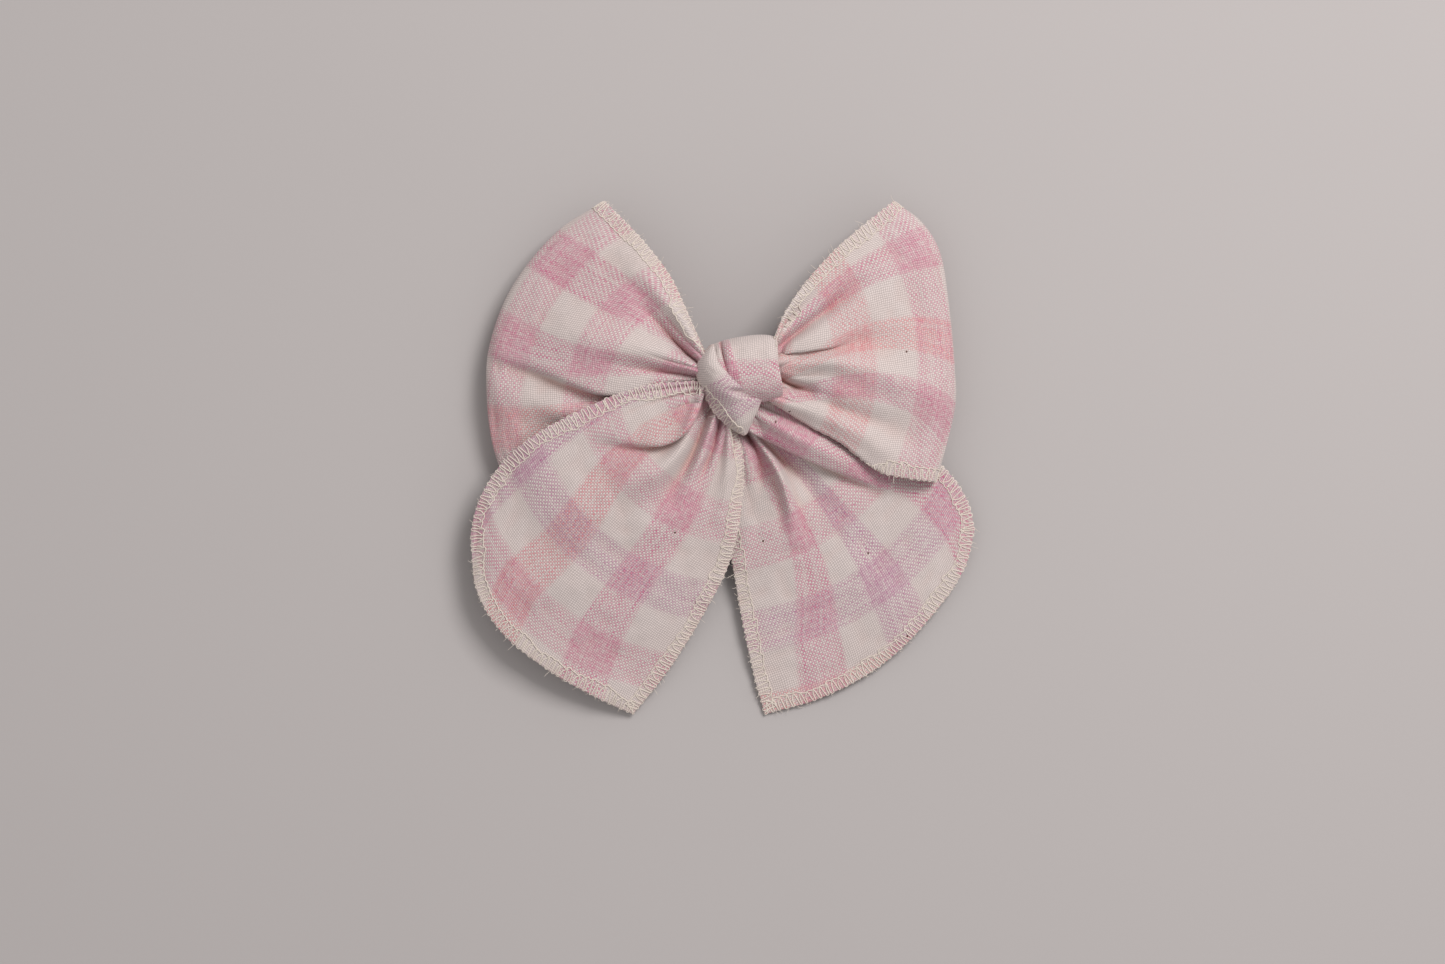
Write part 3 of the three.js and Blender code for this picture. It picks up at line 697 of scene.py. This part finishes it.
def stitches_of(seam, draw, seed):
    """The three threads of an overlocked edge: loops over it, the needle's line and the one beneath."""
    over = CLOTH_T / 2 + YARN * 0.12
    count = int(seam.length / STITCH_PITCH)
    pitch = seam.length / count
    loops, needle, under = [], [], []
    for i in range(count):
        x = i * pitch
        drift = 0.18 * math.sin(x / 3.1 + seed) + 0.12 * math.sin(x / 1.7)
        w = STITCH_W + drift + draw.normal(0, 0.16)
        lean = pitch * (0.36 + draw.normal(0, 0.10))
        spread = pitch * (0.36 + draw.normal(0, 0.09))
        loops += [
            (x, w, over),
            (x + lean * 0.5, w * 0.55, over + 0.05),
            (x + lean, 0.25, over + 0.04),
            (x + lean + 0.08, -0.16, 0.0),
            (x + lean + spread, -0.16, 0.05),
            (x + lean + spread + 0.06, 0.25, over + 0.04),
            (x + lean * 0.6 + spread + 0.1, w * 0.55, over + 0.05),
            (x + pitch * 0.93, w * 0.93, over),
        ]
        wobble = draw.normal(0, 0.07)
        needle += [
            (x + 0.02, w + 0.12 + wobble, over + 0.08),
            (x + pitch * 0.45, w + 0.05 + wobble, over + 0.02),
            (x + pitch * 0.78, w - 0.28 + wobble, over + 0.1),
        ]
        under += [(x, w, -over), (x + lean, 0.15, -over), (x + pitch * 0.7, 0.15, -over)]
    return [(seam.path(loops), YARN / 2), (seam.path(needle), YARN / 2 * 0.95), (seam.path(under), YARN / 2)]


def fibres_of(seam, draw):
    """Loose fibres that stand out of an overlocked edge, thinner towards their ends."""
    floor = 0.1
    fibres = []
    for x in np.arange(1, seam.length - 1, 0.9):
        if draw.random() < 0.55:
            start = seam.at(x, draw.uniform(-0.1, 0.3), draw.normal(0, 0.1))
            i = int(x / SEAM_STEP)
            out = -seam.inward[i] * draw.uniform(0.6, 1.0) + draw.normal(0, 0.45, 3)
            bend = draw.normal(0, 0.35, 3)
            reach = draw.uniform(0.35, 1.0) * (1.5 if draw.random() < 0.12 else 1)
            k = np.linspace(0, 1, 6)[:, None]
            fibre = start + out * reach * k + bend * reach * k ** 2
            fibre[:, 2] = np.maximum(fibre[:, 2], floor)
            fibres.append((fibre, np.linspace(0.055, 0.03, 6)))
    return fibres


def stitching(name, seams, seed):
    """Everything that the overlock machine leaves on a piece's edges."""
    draw = np.random.default_rng(seed)
    strands = []
    for seam in seams:
        strands += stitches_of(seam, draw, seed)
        strands += fibres_of(seam, draw)
    return tubes_mesh(name, [path for path, _ in strands], [radius for _, radius in strands])


# ---------- materials ----------
class Nodes:
    """A node material under construction. Lengths on the cloth are in millimetres."""

    def __init__(self, name):
        self.material = bpy.data.materials.new(name)
        self.material.use_nodes = True
        self.tree = self.material.node_tree
        self.tree.nodes.clear()
        self.output = self.add("ShaderNodeOutputMaterial")
        self.shader = self.add("ShaderNodeBsdfPrincipled")
        self.link(self.shader.outputs[0], self.output.inputs["Surface"])

    def add(self, kind, **settings):
        node = self.tree.nodes.new(kind)
        for key, value in settings.items():
            setattr(node, key, value)
        return node

    def link(self, source, target):
        self.tree.links.new(source, target)

    def feed(self, socket, value):
        if isinstance(value, bpy.types.NodeSocket):
            self.link(value, socket)
        else:
            socket.default_value = value

    def math(self, operation, a, b=0.0, c=0.0, clamp=False):
        node = self.add("ShaderNodeMath", operation=operation, use_clamp=clamp)
        for socket, value in zip(node.inputs, (a, b, c)):
            self.feed(socket, value)
        return node.outputs[0]

    def times(self, a, b):
        return self.math("MULTIPLY", a, b)

    def centred(self, value, strength):
        """A value from 0 to 1, moved to lie round 0 and scaled."""
        return self.times(self.math("SUBTRACT", value, 0.5), strength)

    def mix(self, factor, a, b, blend="MIX"):
        node = self.add("ShaderNodeMix", data_type="RGBA", blend_type=blend)
        node.clamp_factor = False
        self.feed(node.inputs[0], factor)
        for socket, value in ((node.inputs[6], a), (node.inputs[7], b)):
            self.feed(socket, value)
        return node.outputs[2]

    def attribute(self, name):
        return self.add("ShaderNodeAttribute", attribute_name=name).outputs["Vector"]

    def object_place(self):
        return self.add("ShaderNodeTexCoord").outputs["Object"]

    def parts(self, vector):
        node = self.add("ShaderNodeSeparateXYZ")
        self.link(vector, node.inputs[0])
        return node.outputs

    def vector(self, x, y, z):
        node = self.add("ShaderNodeCombineXYZ")
        for socket, value in zip(node.inputs, (x, y, z)):
            self.feed(socket, value)
        return node.outputs[0]

    def noise(self, vector, scale=1.0, detail=2.0):
        node = self.add("ShaderNodeTexNoise", noise_dimensions="3D")
        self.link(vector, node.inputs["Vector"])
        node.inputs["Scale"].default_value = scale
        node.inputs["Detail"].default_value = detail
        node.inputs["Roughness"].default_value = 0.5
        return node.outputs["Fac"]

    def cloth_noise(self, u, v, number, fine_u, fine_v, detail=2.0):
        """Noise on the flat cloth, with so many cells to the millimetre each way."""
        return self.noise(self.vector(self.times(u, fine_u), self.times(v, fine_v), number), 1.0, detail)

    def solid_noise(self, fine_x, fine_y, fine_z):
        """Noise through the object, with so many cells to the metre each way."""
        x, y, z = self.parts(self.object_place())
        return self.noise(self.vector(self.times(x, fine_x), self.times(y, fine_y), self.times(z, fine_z)))

    def bump(self, height, strength, distance):
        node = self.add("ShaderNodeBump")
        node.inputs["Strength"].default_value = strength
        node.inputs["Distance"].default_value = distance * MM
        self.link(height, node.inputs["Height"])
        self.link(node.outputs[0], self.shader.inputs["Normal"])

    def finish(self, colour, rough, sheen=0.0, metallic=0.0, specular=0.5):
        self.link(colour, self.shader.inputs["Base Color"])
        self.feed(self.shader.inputs["Roughness"], rough)
        self.shader.inputs["Sheen Weight"].default_value = sheen
        self.shader.inputs["Metallic"].default_value = metallic
        self.shader.inputs["Specular IOR Level"].default_value = specular
        return self.material


def opaque(colour):
    """A colour as a shader socket takes it."""
    return (*[float(c) for c in colour], 1.0)


def yarn(n, stripe_far, stripe_near, far, near, number):
    """How strongly dyed the yarns of one direction are: long streaks and short flecks. far runs
    along the yarn and near across it."""
    streak = n.cloth_noise(stripe_far, stripe_near, number, 0.045, 1.5)
    fleck = n.cloth_noise(far, near, n.math("ADD", number, 3), 0.6, 2 / WEAVE * 0.75, detail=1)
    both = n.math("ADD", n.centred(streak, 2.6), n.centred(fleck, 3.0))
    return n.math("ADD", n.math("MAXIMUM", both, -0.8), 1.0)


def specks(n, u, v, number):
    """1 on the few dark slubs of the yarn and 0 elsewhere."""
    apart, radius, picked_above = 19, 0.012, 0.6
    speck = n.add("ShaderNodeTexVoronoi", feature="F1", voronoi_dimensions="2D")
    n.link(n.vector(n.math("MULTIPLY_ADD", u, 1 / apart, n.times(number, 7.3)),
                    n.times(v, 1 / apart), 0.0), speck.inputs["Vector"])
    speck.inputs["Scale"].default_value = 1.0
    picked = n.math("GREATER_THAN", n.parts(speck.outputs["Color"])[0], picked_above)
    return n.times(n.math("LESS_THAN", speck.outputs["Distance"], radius), picked)


def cotton_material():
    """Plain-woven cotton: dyed warp and weft, uneven yarns, stray slubs, painted shade where the threads of
    the weave dip, and a darker, warmer painted shade in its creases.
    """
    haze = opaque(linear(243, 232, 226))
    slub = opaque(linear(82, 50, 42))
    # Painted shade for the creases: the colour is multiplied by this darker, warmer tint where the cloth lies
    # low.
    crease_shade_colour = opaque((1.0, 0.75, 0.70))
    n = Nodes("plaid cotton")
    u, v, number = n.parts(n.attribute("cloth"))
    along_u, along_v, _ = n.parts(n.attribute("stripe"))
    wobble = n.centred(n.cloth_noise(u, v, number, 0.5, 0.5), 0.55)
    wave_u = n.math("SINE", n.times(n.math("ADD", u, wobble), math.pi / WEAVE))
    wave_v = n.math("SINE", n.times(n.math("SUBTRACT", v, wobble), math.pi / WEAVE))
    crossing = n.times(wave_u, wave_v)
    over = n.math("MULTIPLY_ADD", crossing, 3.0, 0.5, clamp=True)

    cream = opaque(CREAM)
    warp_yarn = yarn(n, along_u, along_v, u, v, n.math("ADD", number, 10.0))
    weft_yarn = yarn(n, along_v, along_u, v, u, n.math("ADD", number, 20.0))
    warp = n.mix(warp_yarn, cream, n.attribute("warp_dye"))
    weft = n.mix(weft_yarn, cream, n.attribute("weft_dye"))
    colour = n.mix(n.math("MULTIPLY_ADD", n.math("SUBTRACT", over, 0.5), 1.0, 0.52), weft, warp)

    blotch = n.cloth_noise(u, v, number, 0.09, 0.09)
    colour = n.mix(n.math("MULTIPLY_ADD", blotch, 0.5, -0.08, clamp=True), colour,
                   haze, "MULTIPLY")
    grain = n.cloth_noise(u, v, number, 1.7, 1.7)
    # A random tone of the yarns, from the grain noise.
    shade = n.math("MULTIPLY_ADD", grain, 0.16, 0.92)
    height = n.math("POWER", n.math("ABSOLUTE", crossing), 0.6)
    # Painted shade: the colour is darker where the threads dip between their crossings and lighter on top of
    # them.
    painted_weave_shade = n.math("MULTIPLY_ADD", height, 0.56, 0.69)
    # The random tone of the grain and the painted shade of the weave, multiplied into the colour.
    colour = n.mix(1.0, colour, n.vector(*[n.times(shade, painted_weave_shade)] * 3), "MULTIPLY")
    # Painted shade darkens and warms the colour in the creases.
    colour = n.mix(n.parts(n.attribute("painted_crease_shade"))[0], colour, crease_shade_colour, "MULTIPLY")
    colour = n.mix(n.times(specks(n, u, v, number), 0.9), colour, slub)
    n.bump(n.math("ADD", height, n.times(grain, 0.8)), 0.55, 0.09)
    return n.finish(colour, 0.92, sheen=0.12, specular=0.2)


def thread_material():
    """Twisted cotton-polyester overlock thread, cream, a little shinier than the cloth."""
    n = Nodes("overlock thread")
    run, turn, number = n.parts(n.attribute("strand"))
    twist = n.math("SINE", n.times(n.math("ADD", n.times(run, 2.2), turn), 2 * math.pi))
    patch = n.noise(n.vector(n.times(run, 0.3), turn, number))
    colour = n.mix(patch, opaque(linear(210, 197, 186)), opaque(linear(228, 217, 206)))
    n.bump(twist, 0.5, 0.04)
    return n.finish(colour, 0.72, sheen=0.1, specular=0.3)


def metal_material(name, colour, rough, brush):
    """Plated steel with fine scratches along X and small dull patches."""
    n = Nodes(name)
    patch = n.solid_noise(260, 260, 260)
    n.bump(n.solid_noise(brush, 9000, 9000), 0.12, 0.03)
    roughness = n.math("MULTIPLY_ADD", patch, 0.2, rough)
    return n.finish(n.mix(patch, opaque(colour), opaque(colour * 0.82)), roughness, metallic=1.0)


def ribbon_material():
    """Grosgrain: a close weave of fine warps over thick ribs."""
    n = Nodes("grosgrain ribbon")
    u, v, number = n.parts(n.attribute("cloth"))
    fine = n.math("SINE", n.times(v, 2 * math.pi / 0.24))
    base = linear(196, 150, 160)
    colour = n.mix(n.cloth_noise(u, v, number, 0.6, 0.6), opaque(base), opaque(base * 1.12))
    colour = n.mix(n.math("MULTIPLY_ADD", fine, 0.08, 0.1), colour, opaque(base * 0.7))
    n.bump(fine, 0.4, 0.05)
    return n.finish(colour, 0.55, sheen=0.1, specular=0.35)


def glue_material():
    """Hot-melt glue: milky and smooth, with fine bubbles."""
    n = Nodes("hot glue")
    patch = n.solid_noise(700, 700, 700)
    n.bump(patch, 0.25, 0.3)
    n.shader.inputs["Subsurface Weight"].default_value = 0.15
    n.shader.inputs["Subsurface Scale"].default_value = 0.001
    return n.finish(n.mix(patch, opaque(linear(214, 205, 188)), opaque(linear(226, 220, 206))), 0.32)


def floor_material():
    """A pale matt board."""
    n = Nodes("pale board")
    paint_colour = linear(180, 174, 173)
    patch = n.noise(n.object_place(), 9.0, 3)
    n.bump(n.noise(n.object_place(), 900.0), 0.08, 0.1)
    colour = n.mix(patch, opaque(paint_colour), opaque(paint_colour * 0.97))
    return n.finish(colour, 0.9, specular=0.15)


# ---------- knot ----------
def band(path, half, curl, rows, cols):
    """A strip laid along a path, with its edges rolled towards the inside of the path's bend."""
    half_turn = 1.3
    line = curve(path, rows)
    heading = unit(np.gradient(line, axis=0))
    side = unit(np.array([1.0, 0, 0]) - heading * heading[:, :1])
    out = np.cross(heading, side)
    angle = np.linspace(-half_turn, half_turn, cols)
    across = np.sin(angle) / math.sin(half_turn)
    drop = (1 - np.cos(angle)) / (1 - math.cos(half_turn))
    return (line[:, None, :] + side[:, None, :] * (half * across)[None, :, None]
            - out[:, None, :] * (curl * drop)[None, :, None])


def knot_band():
    """The strip round the waist of the bow, over the front and round the back."""
    path = [(0.7, 4.5, 8.3), (0.7, 7.6, 8.6), (0.8, 9.3, 12), (0.9, 8.1, 16.4), (1.0, 5.4, 18.6),
            (1.2, 2, 19.1), (1.8, -1.2, 18), (2, -3.4, 14.6), (1.4, -3.2, 10.5), (1, -1, 8.0),
            (1, 2, 7.5), (1, 5, 7.6)]
    half_width, curl = 6.7, 1.5
    grid = band(path, half_width, curl, *BAND_GRID)
    front = smooth((grid[..., 2] - 9) / 5)
    grid[..., 1] += 0.2 * (grid[..., 0] - 1.2) * front * smooth(grid[..., 1] / 6)
    add_fold(grid, [(-3.7, 9.4), (-3.0, 5.6), (-2.3, 2.4)], [-1.0, -1.1, -0.5], [0.3, 0.32, 0.4], front)
    add_fold(grid, [(-2.4, 9.4), (-1.7, 5.4), (-0.5, 1.6)], [0.5, 0.5, 0.0], [0.7, 0.8, 1.0], front)
    add_fold(grid, [(5.4, 10), (6.2, 6), (5.6, 1), (3.4, -2)], [0.3, 0.35, 0.3, 0.1], [0.9, 1, 1, 1], front)
    grid[..., 2] += 0.12 * ripple(grid.shape[:2], (26, 9), 91) * front
    return grid


def knot_tuck(band_grid):
    """The strip's other pass, slanting down over the band's left and out below it in a point. Its
    right side merges into the band."""
    tree = tree_of(band_grid)
    edge_a = [(-5.7, 7.3, 14.6), (-7.6, 4.8, 14.8), (-8.2, 2.0, 14.6), (-7.0, -1.4, 14.7),
              (-4.5, -6.0, 14.2), (-1.0, -9.0, 12.9), (0.7, -9.9, 12.4)]
    edge_b = [(-5.0, 7.7, 16.0), (-3.7, 3.7, 18.6), (-1.9, 1.8, 18.9), (1.0, -0.8, 18.5),
              (4.7, -1.9, 15.4), (4.2, -3.9, 14.9), (3.0, -6.6, 14.4), (1.7, -9.5, 12.6)]
    tip = [(0.7, -9.9, 12.4), (1.2, -10.1, 12.6), (1.7, -9.7, 12.6)]
    s, t = (np.linspace(0, 1, count) for count in TUCK_GRID)
    grid = fan(edge_a, edge_b, tip, s, t, 0)
    sharpness = 0.8 + 0.8 * smooth((s - 0.3) / 0.25)[:, None] * smooth((0.6 - t) / 0.3)[None, :]
    lengthwise = np.sin(np.pi * np.clip(s * 0.94 + 0.04, 0, 1))[:, None] ** 0.7
    swell = lengthwise * np.sin(np.pi * t ** 0.9)[None, :] ** sharpness
    grid[..., 2] += 2.7 * swell
    above = 40
    for i in range(len(s)):
        for j in range(len(t)):
            x, y, z = grid[i, j]
            hit = tree.ray_cast(Vector((x, y, above)), Vector((0, 0, -1)))[0]
            if hit is not None:
                merged = smooth((s[i] - 0.42) / 0.08) * smooth((t[j] - 0.5) / 0.42)
                sunk = z + (min(z, hit.z - 0.12) - z) * smooth(hit.z - 15.4)
                clear = max(z, hit.z + CLOTH_T + 0.1)
                grid[i, j, 2] = clear + (sunk - clear) * merged
    grid[..., 2] = soften_grid(grid[..., 2], 3)
    grid[..., 2] += 0.08 * ripple(grid.shape[:2], (16, 6), 92)
    return grid


def knot_roll():
    """The gathered middle of the strip, rolled up inside the knot."""
    turns = 2.3
    x = np.linspace(-5.0, 5.4, 60)
    turn = np.linspace(0, turns * 2 * np.pi, 150)
    radius = 1.0 + 0.42 * turn / 2
    radius = radius[:, None] + 0.12 * np.sin(9 * turn)[:, None] * np.cos(x / 3)[None, :]
    y = 3.6 + 0.95 * radius * np.cos(turn)[:, None]
    z = 12.9 + 0.85 * radius * np.sin(turn)[:, None]
    return np.stack([np.broadcast_to(x, y.shape), y, z], -1)


# ---------- soft trim of the clip ----------
def clip_lining():
    """Grosgrain ribbon along the top of the upper arm, round its tip and back beneath, ribbed."""
    low, high = (np.array(corner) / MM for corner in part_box("clip_ribbon"))
    corners = np.array([v.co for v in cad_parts["clip_ribbon"].data.vertices]) / MM
    tip, end, bend, under_end = low[0], high[0], -8, -14
    top = corners[corners[:, 0] > end - 0.01][:, 2].mean()
    at_tip = corners[corners[:, 0] < tip + 0.6][:, 2]
    over, under = at_tip.max() - LINING_T / 2, at_tip.min() + LINING_T / 2
    far = corners[np.abs(corners[:, 0] - under_end) < 0.01][:, 2].mean()
    path = [(end, 0, top), (bend, 0, over + (top - over) * (bend - tip) / (4 - tip)), (tip + 0.8, 0, over),
            (tip + 0.2, 0, (over + under) / 2), (tip + 0.8, 0, under), (-18, 0, (under * 3 + far) / 4),
            (under_end, 0, far)]
    line = curve(path, 700)
    half = (high[1] - low[1]) / 2 - 0.15
    across = np.linspace(-half, half, 24)
    grid = np.repeat(line[:, None, :], len(across), 1)
    grid[..., 1] += across[None, :]
    run = arc(grid, 0)
    out = np.cross(unit(np.gradient(line, axis=0)), [0, 1.0, 0])
    grid = grid + out[:, None, :] * (0.05 * np.abs(np.sin(np.pi * run / LINING_RIB)))[..., None]
    cloth = np.stack([run, np.broadcast_to(across, run.shape), np.full(run.shape, 5)], -1)
    return grid, {"cloth": cloth}


def glue_blob():
    """The pad of hot glue between the clip's ribbon and the bow: a flattened bead with a soft edge."""
    low, high = (np.array(corner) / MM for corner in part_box("glue_pad"))
    rings, sides = 40, 96
    centre, half = (low + high) / 2, (high - low) / 2
    angle = np.linspace(0, 2 * np.pi, sides, endpoint=False)
    wobble = 0.95 + 0.03 * np.sin(3 * angle + 1) + 0.02 * np.sin(7 * angle)
    rim = np.stack([np.sign(np.cos(angle)) * np.abs(np.cos(angle)) ** 0.5,
                    np.sign(np.sin(angle)) * np.abs(np.sin(angle)) ** 0.5], 1) * wobble[:, None]
    points = []
    for tilt in np.linspace(-0.49 * np.pi, 0.49 * np.pi, rings):
        ring = rim * np.cos(tilt) ** 0.35 * half[:2] + centre[:2]
        points.append(np.column_stack([ring, np.full(sides, centre[2] + half[2] * math.sin(tilt) * 0.97)]))
    poles = centre + np.array([[0, 0, -half[2]], [0, 0, half[2]]])
    around = np.arange(sides)
    after = (around + 1) % sides
    last_ring = (rings - 1) * sides
    bottom, top = rings * sides, rings * sides + 1
    caps = np.vstack([np.stack([around, after, np.full(sides, bottom)], 1),
                      np.stack([after + last_ring, around + last_ring, np.full(sides, top)], 1)])
    return new_mesh("glue_bead", np.vstack([*points, poles]), [grid_faces(rings, sides, wrap=True), caps])


# ---------- building the object ----------
MATERIALS = {
    "plaid_cotton": cotton_material(),
    "edge_thread": thread_material(),
    "clip_ribbon": ribbon_material(),
    "glue": glue_material(),
    "clip_steel": metal_material("plated steel", linear(198, 199, 202), 0.22, 240),
    "spring_steel": metal_material("spring wire", linear(176, 178, 182), 0.26, 700),
}


def paint(obj, material):
    """Gives the whole object one material."""
    obj.data.materials.clear()
    obj.data.materials.append(material)


def place(obj, slot, nodes):
    """Finishes a soft piece, fastens it to the bow and hides the CAD nodes that it stands in for."""
    paint(obj, MATERIALS[slot])
    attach(obj, "bow")
    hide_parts(*nodes)
    return obj


def sewn_cloth(name, grid, vectors, seams, thread_nodes, seed):
    """A piece of cotton that stands for the node of its name, and the overlock thread on its edges."""
    cloth = place(cloth_mesh(name + "_cloth", grid, vectors), "plaid_cotton", [name])
    stitches = place(stitching(name + "_overlock", seams, seed), "edge_thread", thread_nodes)
    return cloth, stitches


def make_panel(name, p, edges, thread_nodes):
    """A loop or a tail, with one seam for each list of sides in edges."""
    grid, plain, s, t = p["build"](p)
    u, v = p["stripes"](plain, s, t)
    vectors = cloth_vectors(grid, u, v, p["warp"], p["weft"], p["number"])
    seams = [Seam(grid, p["turned"], sides) for sides in edges]
    cloth, stitches = sewn_cloth(name, grid, vectors, seams, thread_nodes, 20 + p["number"])


def make_loops_and_tails():
    for name, p in (("left_loop", LEFT_LOOP), ("right_loop", RIGHT_LOOP)):
        make_panel(name, p, [[("a", False)], [("b", False)]], [name + "_top_thread", name + "_bottom_thread"])
    for name, p in (("left_tail", LEFT_TAIL), ("right_tail", RIGHT_TAIL)):
        make_panel(name, p, [[("a", False), ("rim", False), ("b", True)]], [name + "_edge_thread"])


def make_knot():
    """The band, the tucked fold over it, and the gathered roll inside."""
    band_grid = knot_band()
    x, y, z = (band_grid[..., c] for c in range(3))
    vectors = cloth_vectors(band_grid, arc(band_grid, 0), arc(band_grid, 1), [], [], 6)
    far_off = 30
    vectors["weft_dye"] = dye(np.where(z > 10, y, far_off), [(0.2, stronger(PINK, 1.2))])
    vectors["warp_dye"] = dye((x + 0.6 + 0.28 * y) * 3.6, [(0.0, PINK)])
    knot = place(cloth_mesh("knot_band_cloth", band_grid, vectors), "plaid_cotton", ["knot_wrap"])

    grid = knot_tuck(band_grid)
    vectors = cloth_vectors(grid, arc(grid, 0), arc(grid, 1), [], [], 7)
    vectors["weft_dye"] = dye((grid[..., 1] - 0.68 * grid[..., 0]) / 1.21, [(-1.4, MAUVE)])
    seam = Seam(grid[int(0.4 * len(grid)):], 1, [("a", False)])
    tuck, tuck_thread = sewn_cloth("knot_tuck", grid, vectors, [seam], ["knot_tuck_thread"], 25)

    grid = knot_roll()
    vectors = cloth_vectors(grid, arc(grid, 0), arc(grid, 1), [(2.5, PINK)], [(8.6, PINK)], 8)
    roll = place(cloth_mesh("knot_gathered_roll", grid, vectors, 0.3), "plaid_cotton", ["knot_core"])


def make_clip():
    """The clip's soft trim, and plated finishes on its own parts."""
    grid, vectors = clip_lining()
    place(cloth_mesh("clip_grosgrain", grid, vectors, LINING_T), "clip_ribbon", ["clip_ribbon"])
    place(glue_blob(), "glue", ["glue_pad"])
    for node in ("clip_upper_arm", "clip_lower_arm", "clip_pivot_pin"):
        paint(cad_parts[node], MATERIALS["clip_steel"])
    for node in ("clip_spring", "clip_spring_lower_leg"):
        paint(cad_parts[node], MATERIALS["spring_steel"])


# ---------- floor, light and camera ----------
ROOM_COLOUR = (1.0, 0.985, 0.975)
ROOM_STRENGTH = 0.56
WINDOW_COLOUR = (1.0, 0.99, 0.98)
WINDOW_WATTS = 5.4
WINDOW_SIZE = 350         # across its square
WINDOW_PLACE = (360, 395, 650)
WINDOW_AIM = (0, -10, 0)  # the place that it shines at


def make_floor():
    half = 1500
    points = [(-half, -half, 0), (half, -half, 0), (half, half, 0), (-half, half, 0)]
    floor = new_mesh("floor", points, [[(0, 1, 2, 3)]], smooth_faces=False)
    paint(floor, floor_material())


def make_light():
    """An even pale room, and one soft window to the upper right."""
    world = bpy.data.worlds.new("studio")
    bpy.context.scene.world = world
    world.use_nodes = True
    background = world.node_tree.nodes["Background"]
    background.inputs["Color"].default_value = (*ROOM_COLOUR, 1)
    background.inputs["Strength"].default_value = ROOM_STRENGTH
    data = bpy.data.lights.new("window", "AREA")
    data.shape = "SQUARE"
    data.size = WINDOW_SIZE * MM
    data.energy = WINDOW_WATTS
    data.color = WINDOW_COLOUR
    lamp = bpy.data.objects.new("window", data)
    bpy.context.scene.collection.objects.link(lamp)
    target = Vector(WINDOW_AIM) * MM
    lamp.location = Vector(WINDOW_PLACE) * MM
    lamp.rotation_mode = "QUATERNION"
    lamp.rotation_quaternion = (target - lamp.location).to_track_quat("-Z", "Y")


def make_camera():
    """Straight above the bow, looking down."""
    middle = Vector((-3.1, -19.4, 6.0)) * MM
    frame_width = 289.0
    lens, sensor = 80.0, 36.0
    data = bpy.data.cameras.new("camera")
    data.lens = lens
    data.sensor_width = sensor
    data.dof.use_dof = False
    data.clip_start, data.clip_end = 0.01, 20
    camera = bpy.data.objects.new("camera", data)
    camera.location = middle + Vector((0, 0, frame_width * lens / sensor * MM))
    bpy.context.scene.collection.objects.link(camera)
    bpy.context.scene.camera = camera


make_loops_and_tails()
make_knot()
make_clip()
make_floor()
make_light()
make_camera()
bpy.context.scene.view_settings.view_transform = "Standard"
